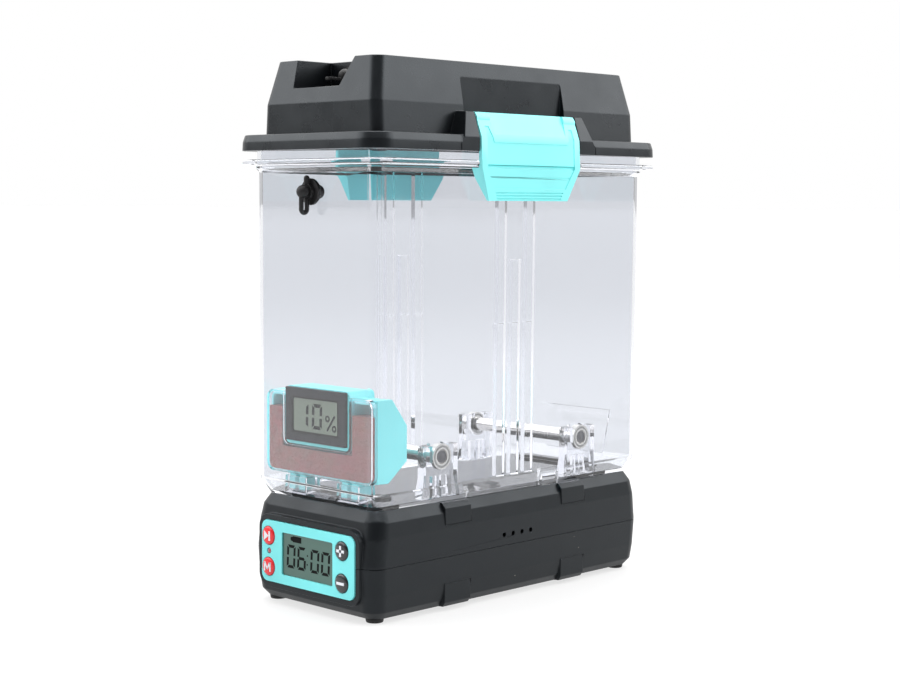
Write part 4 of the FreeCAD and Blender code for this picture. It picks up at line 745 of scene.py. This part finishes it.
def world_ramp(tree, value, low, high, to_low, to_high):
    """A Map Range node of the world's tree."""
    ramp = tree.nodes.new("ShaderNodeMapRange")
    limits = {"From Min": low, "From Max": high, "To Min": to_low, "To Max": to_high}
    for socket, number in limits.items():
        ramp.inputs[socket].default_value = number
    tree.links.new(value, ramp.inputs["Value"])
    return ramp


def world():
    """White to look at and to look through; as light, a tent that fades from back to front corner."""
    made = bpy.data.worlds.new("studio")
    bpy.context.scene.world = made
    made.use_nodes = True
    tree = made.node_tree
    tree.nodes.clear()
    coordinates = tree.nodes.new("ShaderNodeTexCoord")
    split = tree.nodes.new("ShaderNodeSeparateXYZ")
    tree.links.new(coordinates.outputs["Generated"], split.inputs["Vector"])
    tent = world_ramp(tree, split.outputs["Z"], 0.0, 0.6, 0.35, 1.2)
    corner = tree.nodes.new("ShaderNodeVectorMath")
    corner.operation = "DOT_PRODUCT"
    tree.links.new(coordinates.outputs["Generated"], corner.inputs[0])
    corner.inputs[1].default_value = (0.707, -0.707, 0.0)
    flag = world_ramp(tree, corner.outputs["Value"], -0.8, 0.8, 1.9, 0.1)
    flagged = tree.nodes.new("ShaderNodeMath")
    flagged.operation = "MULTIPLY"
    tree.links.new(tent.outputs["Result"], flagged.inputs[0])
    tree.links.new(flag.outputs["Result"], flagged.inputs[1])
    paths = tree.nodes.new("ShaderNodeLightPath")
    seen = tree.nodes.new("ShaderNodeMath")
    seen.operation = "MAXIMUM"
    tree.links.new(paths.outputs["Is Camera Ray"], seen.inputs[0])
    tree.links.new(paths.outputs["Is Transmission Ray"], seen.inputs[1])
    strength = tree.nodes.new("ShaderNodeMix")
    tree.links.new(seen.outputs["Value"], strength.inputs["Factor"])
    tree.links.new(flagged.outputs["Value"], strength.inputs["A"])
    strength.inputs["B"].default_value = 1.0
    background = tree.nodes.new("ShaderNodeBackground")
    background.inputs["Color"].default_value = (1.0, 1.0, 1.0, 1.0)
    tree.links.new(strength.outputs["Result"], background.inputs["Strength"])
    output = tree.nodes.new("ShaderNodeOutputWorld")
    tree.links.new(background.outputs["Background"], output.inputs["Surface"])


def aim(obj, place, target):
    """Puts an object in its place with its -Z axis towards the target."""
    obj.location = place
    obj.rotation_euler = (Vector(target) - Vector(place)).to_track_quat("-Z", "Y").to_euler()


def lights():
    """Two tall softboxes beside the object and a wide one above it."""
    for name, place, size, radiance in (
        ("softbox_right", (1.5, 1.5, 1.3), (2.2, 1.5), 2.5),
        ("softbox_front", (-1.5, -1.5, 1.3), (2.2, 1.5), 2.2),
        ("softbox_top", (0.0, 0.0, 2.1), (2.2, 2.2), 3.9),
    ):
        data = bpy.data.lights.new(name, "AREA")
        data.shape = "RECTANGLE"
        data.size, data.size_y = size
        data.energy = radiance * math.pi * size[0] * size[1]
        lamp = bpy.data.objects.new(name, data)
        bpy.context.scene.collection.objects.link(lamp)
        aim(lamp, place, (0.0, 0.0, 0.2))
        lamp.visible_camera = False
        lamp.visible_transmission = False


CAMERA_PLACE = (688.43, -702.29, 218.45)
CAMERA_LENS = 69.109
CAMERA_AZIMUTH, CAMERA_PITCH, CAMERA_ROLL = 44.607, 4.495, 0.332  # degrees; the pitch is downwards


def camera():
    azimuth, pitch, roll = (math.radians(angle) for angle in (CAMERA_AZIMUTH, CAMERA_PITCH, CAMERA_ROLL))
    right = Vector((math.cos(azimuth), math.sin(azimuth), 0.0))
    level = math.cos(pitch)
    forward = Vector((-math.sin(azimuth) * level, math.cos(azimuth) * level, -math.sin(pitch)))
    up = right.cross(forward)
    turned_right = right * math.cos(roll) + up * math.sin(roll)
    turned_up = up * math.cos(roll) - right * math.sin(roll)
    data = bpy.data.cameras.new("photo_view")
    data.sensor_width = 36.0
    data.lens = CAMERA_LENS
    data.clip_end = 200.0
    eye = bpy.data.objects.new("photo_view", data)
    bpy.context.scene.collection.objects.link(eye)
    matrix = Matrix((turned_right, turned_up, -forward)).transposed().to_4x4()
    matrix.translation = Vector(CAMERA_PLACE) * MM
    eye.matrix_world = matrix
    bpy.context.scene.camera = eye


floor()
world()
lights()
camera()

scene = bpy.context.scene
scene.view_settings.view_transform = "Standard"
scene.cycles.max_bounces = 24
scene.cycles.transmission_bounces = 24
scene.cycles.transparent_max_bounces = 24
scene.cycles.diffuse_bounces = 4
scene.cycles.glossy_bounces = 8
scene.cycles.caustics_reflective = False
scene.cycles.caustics_refractive = False
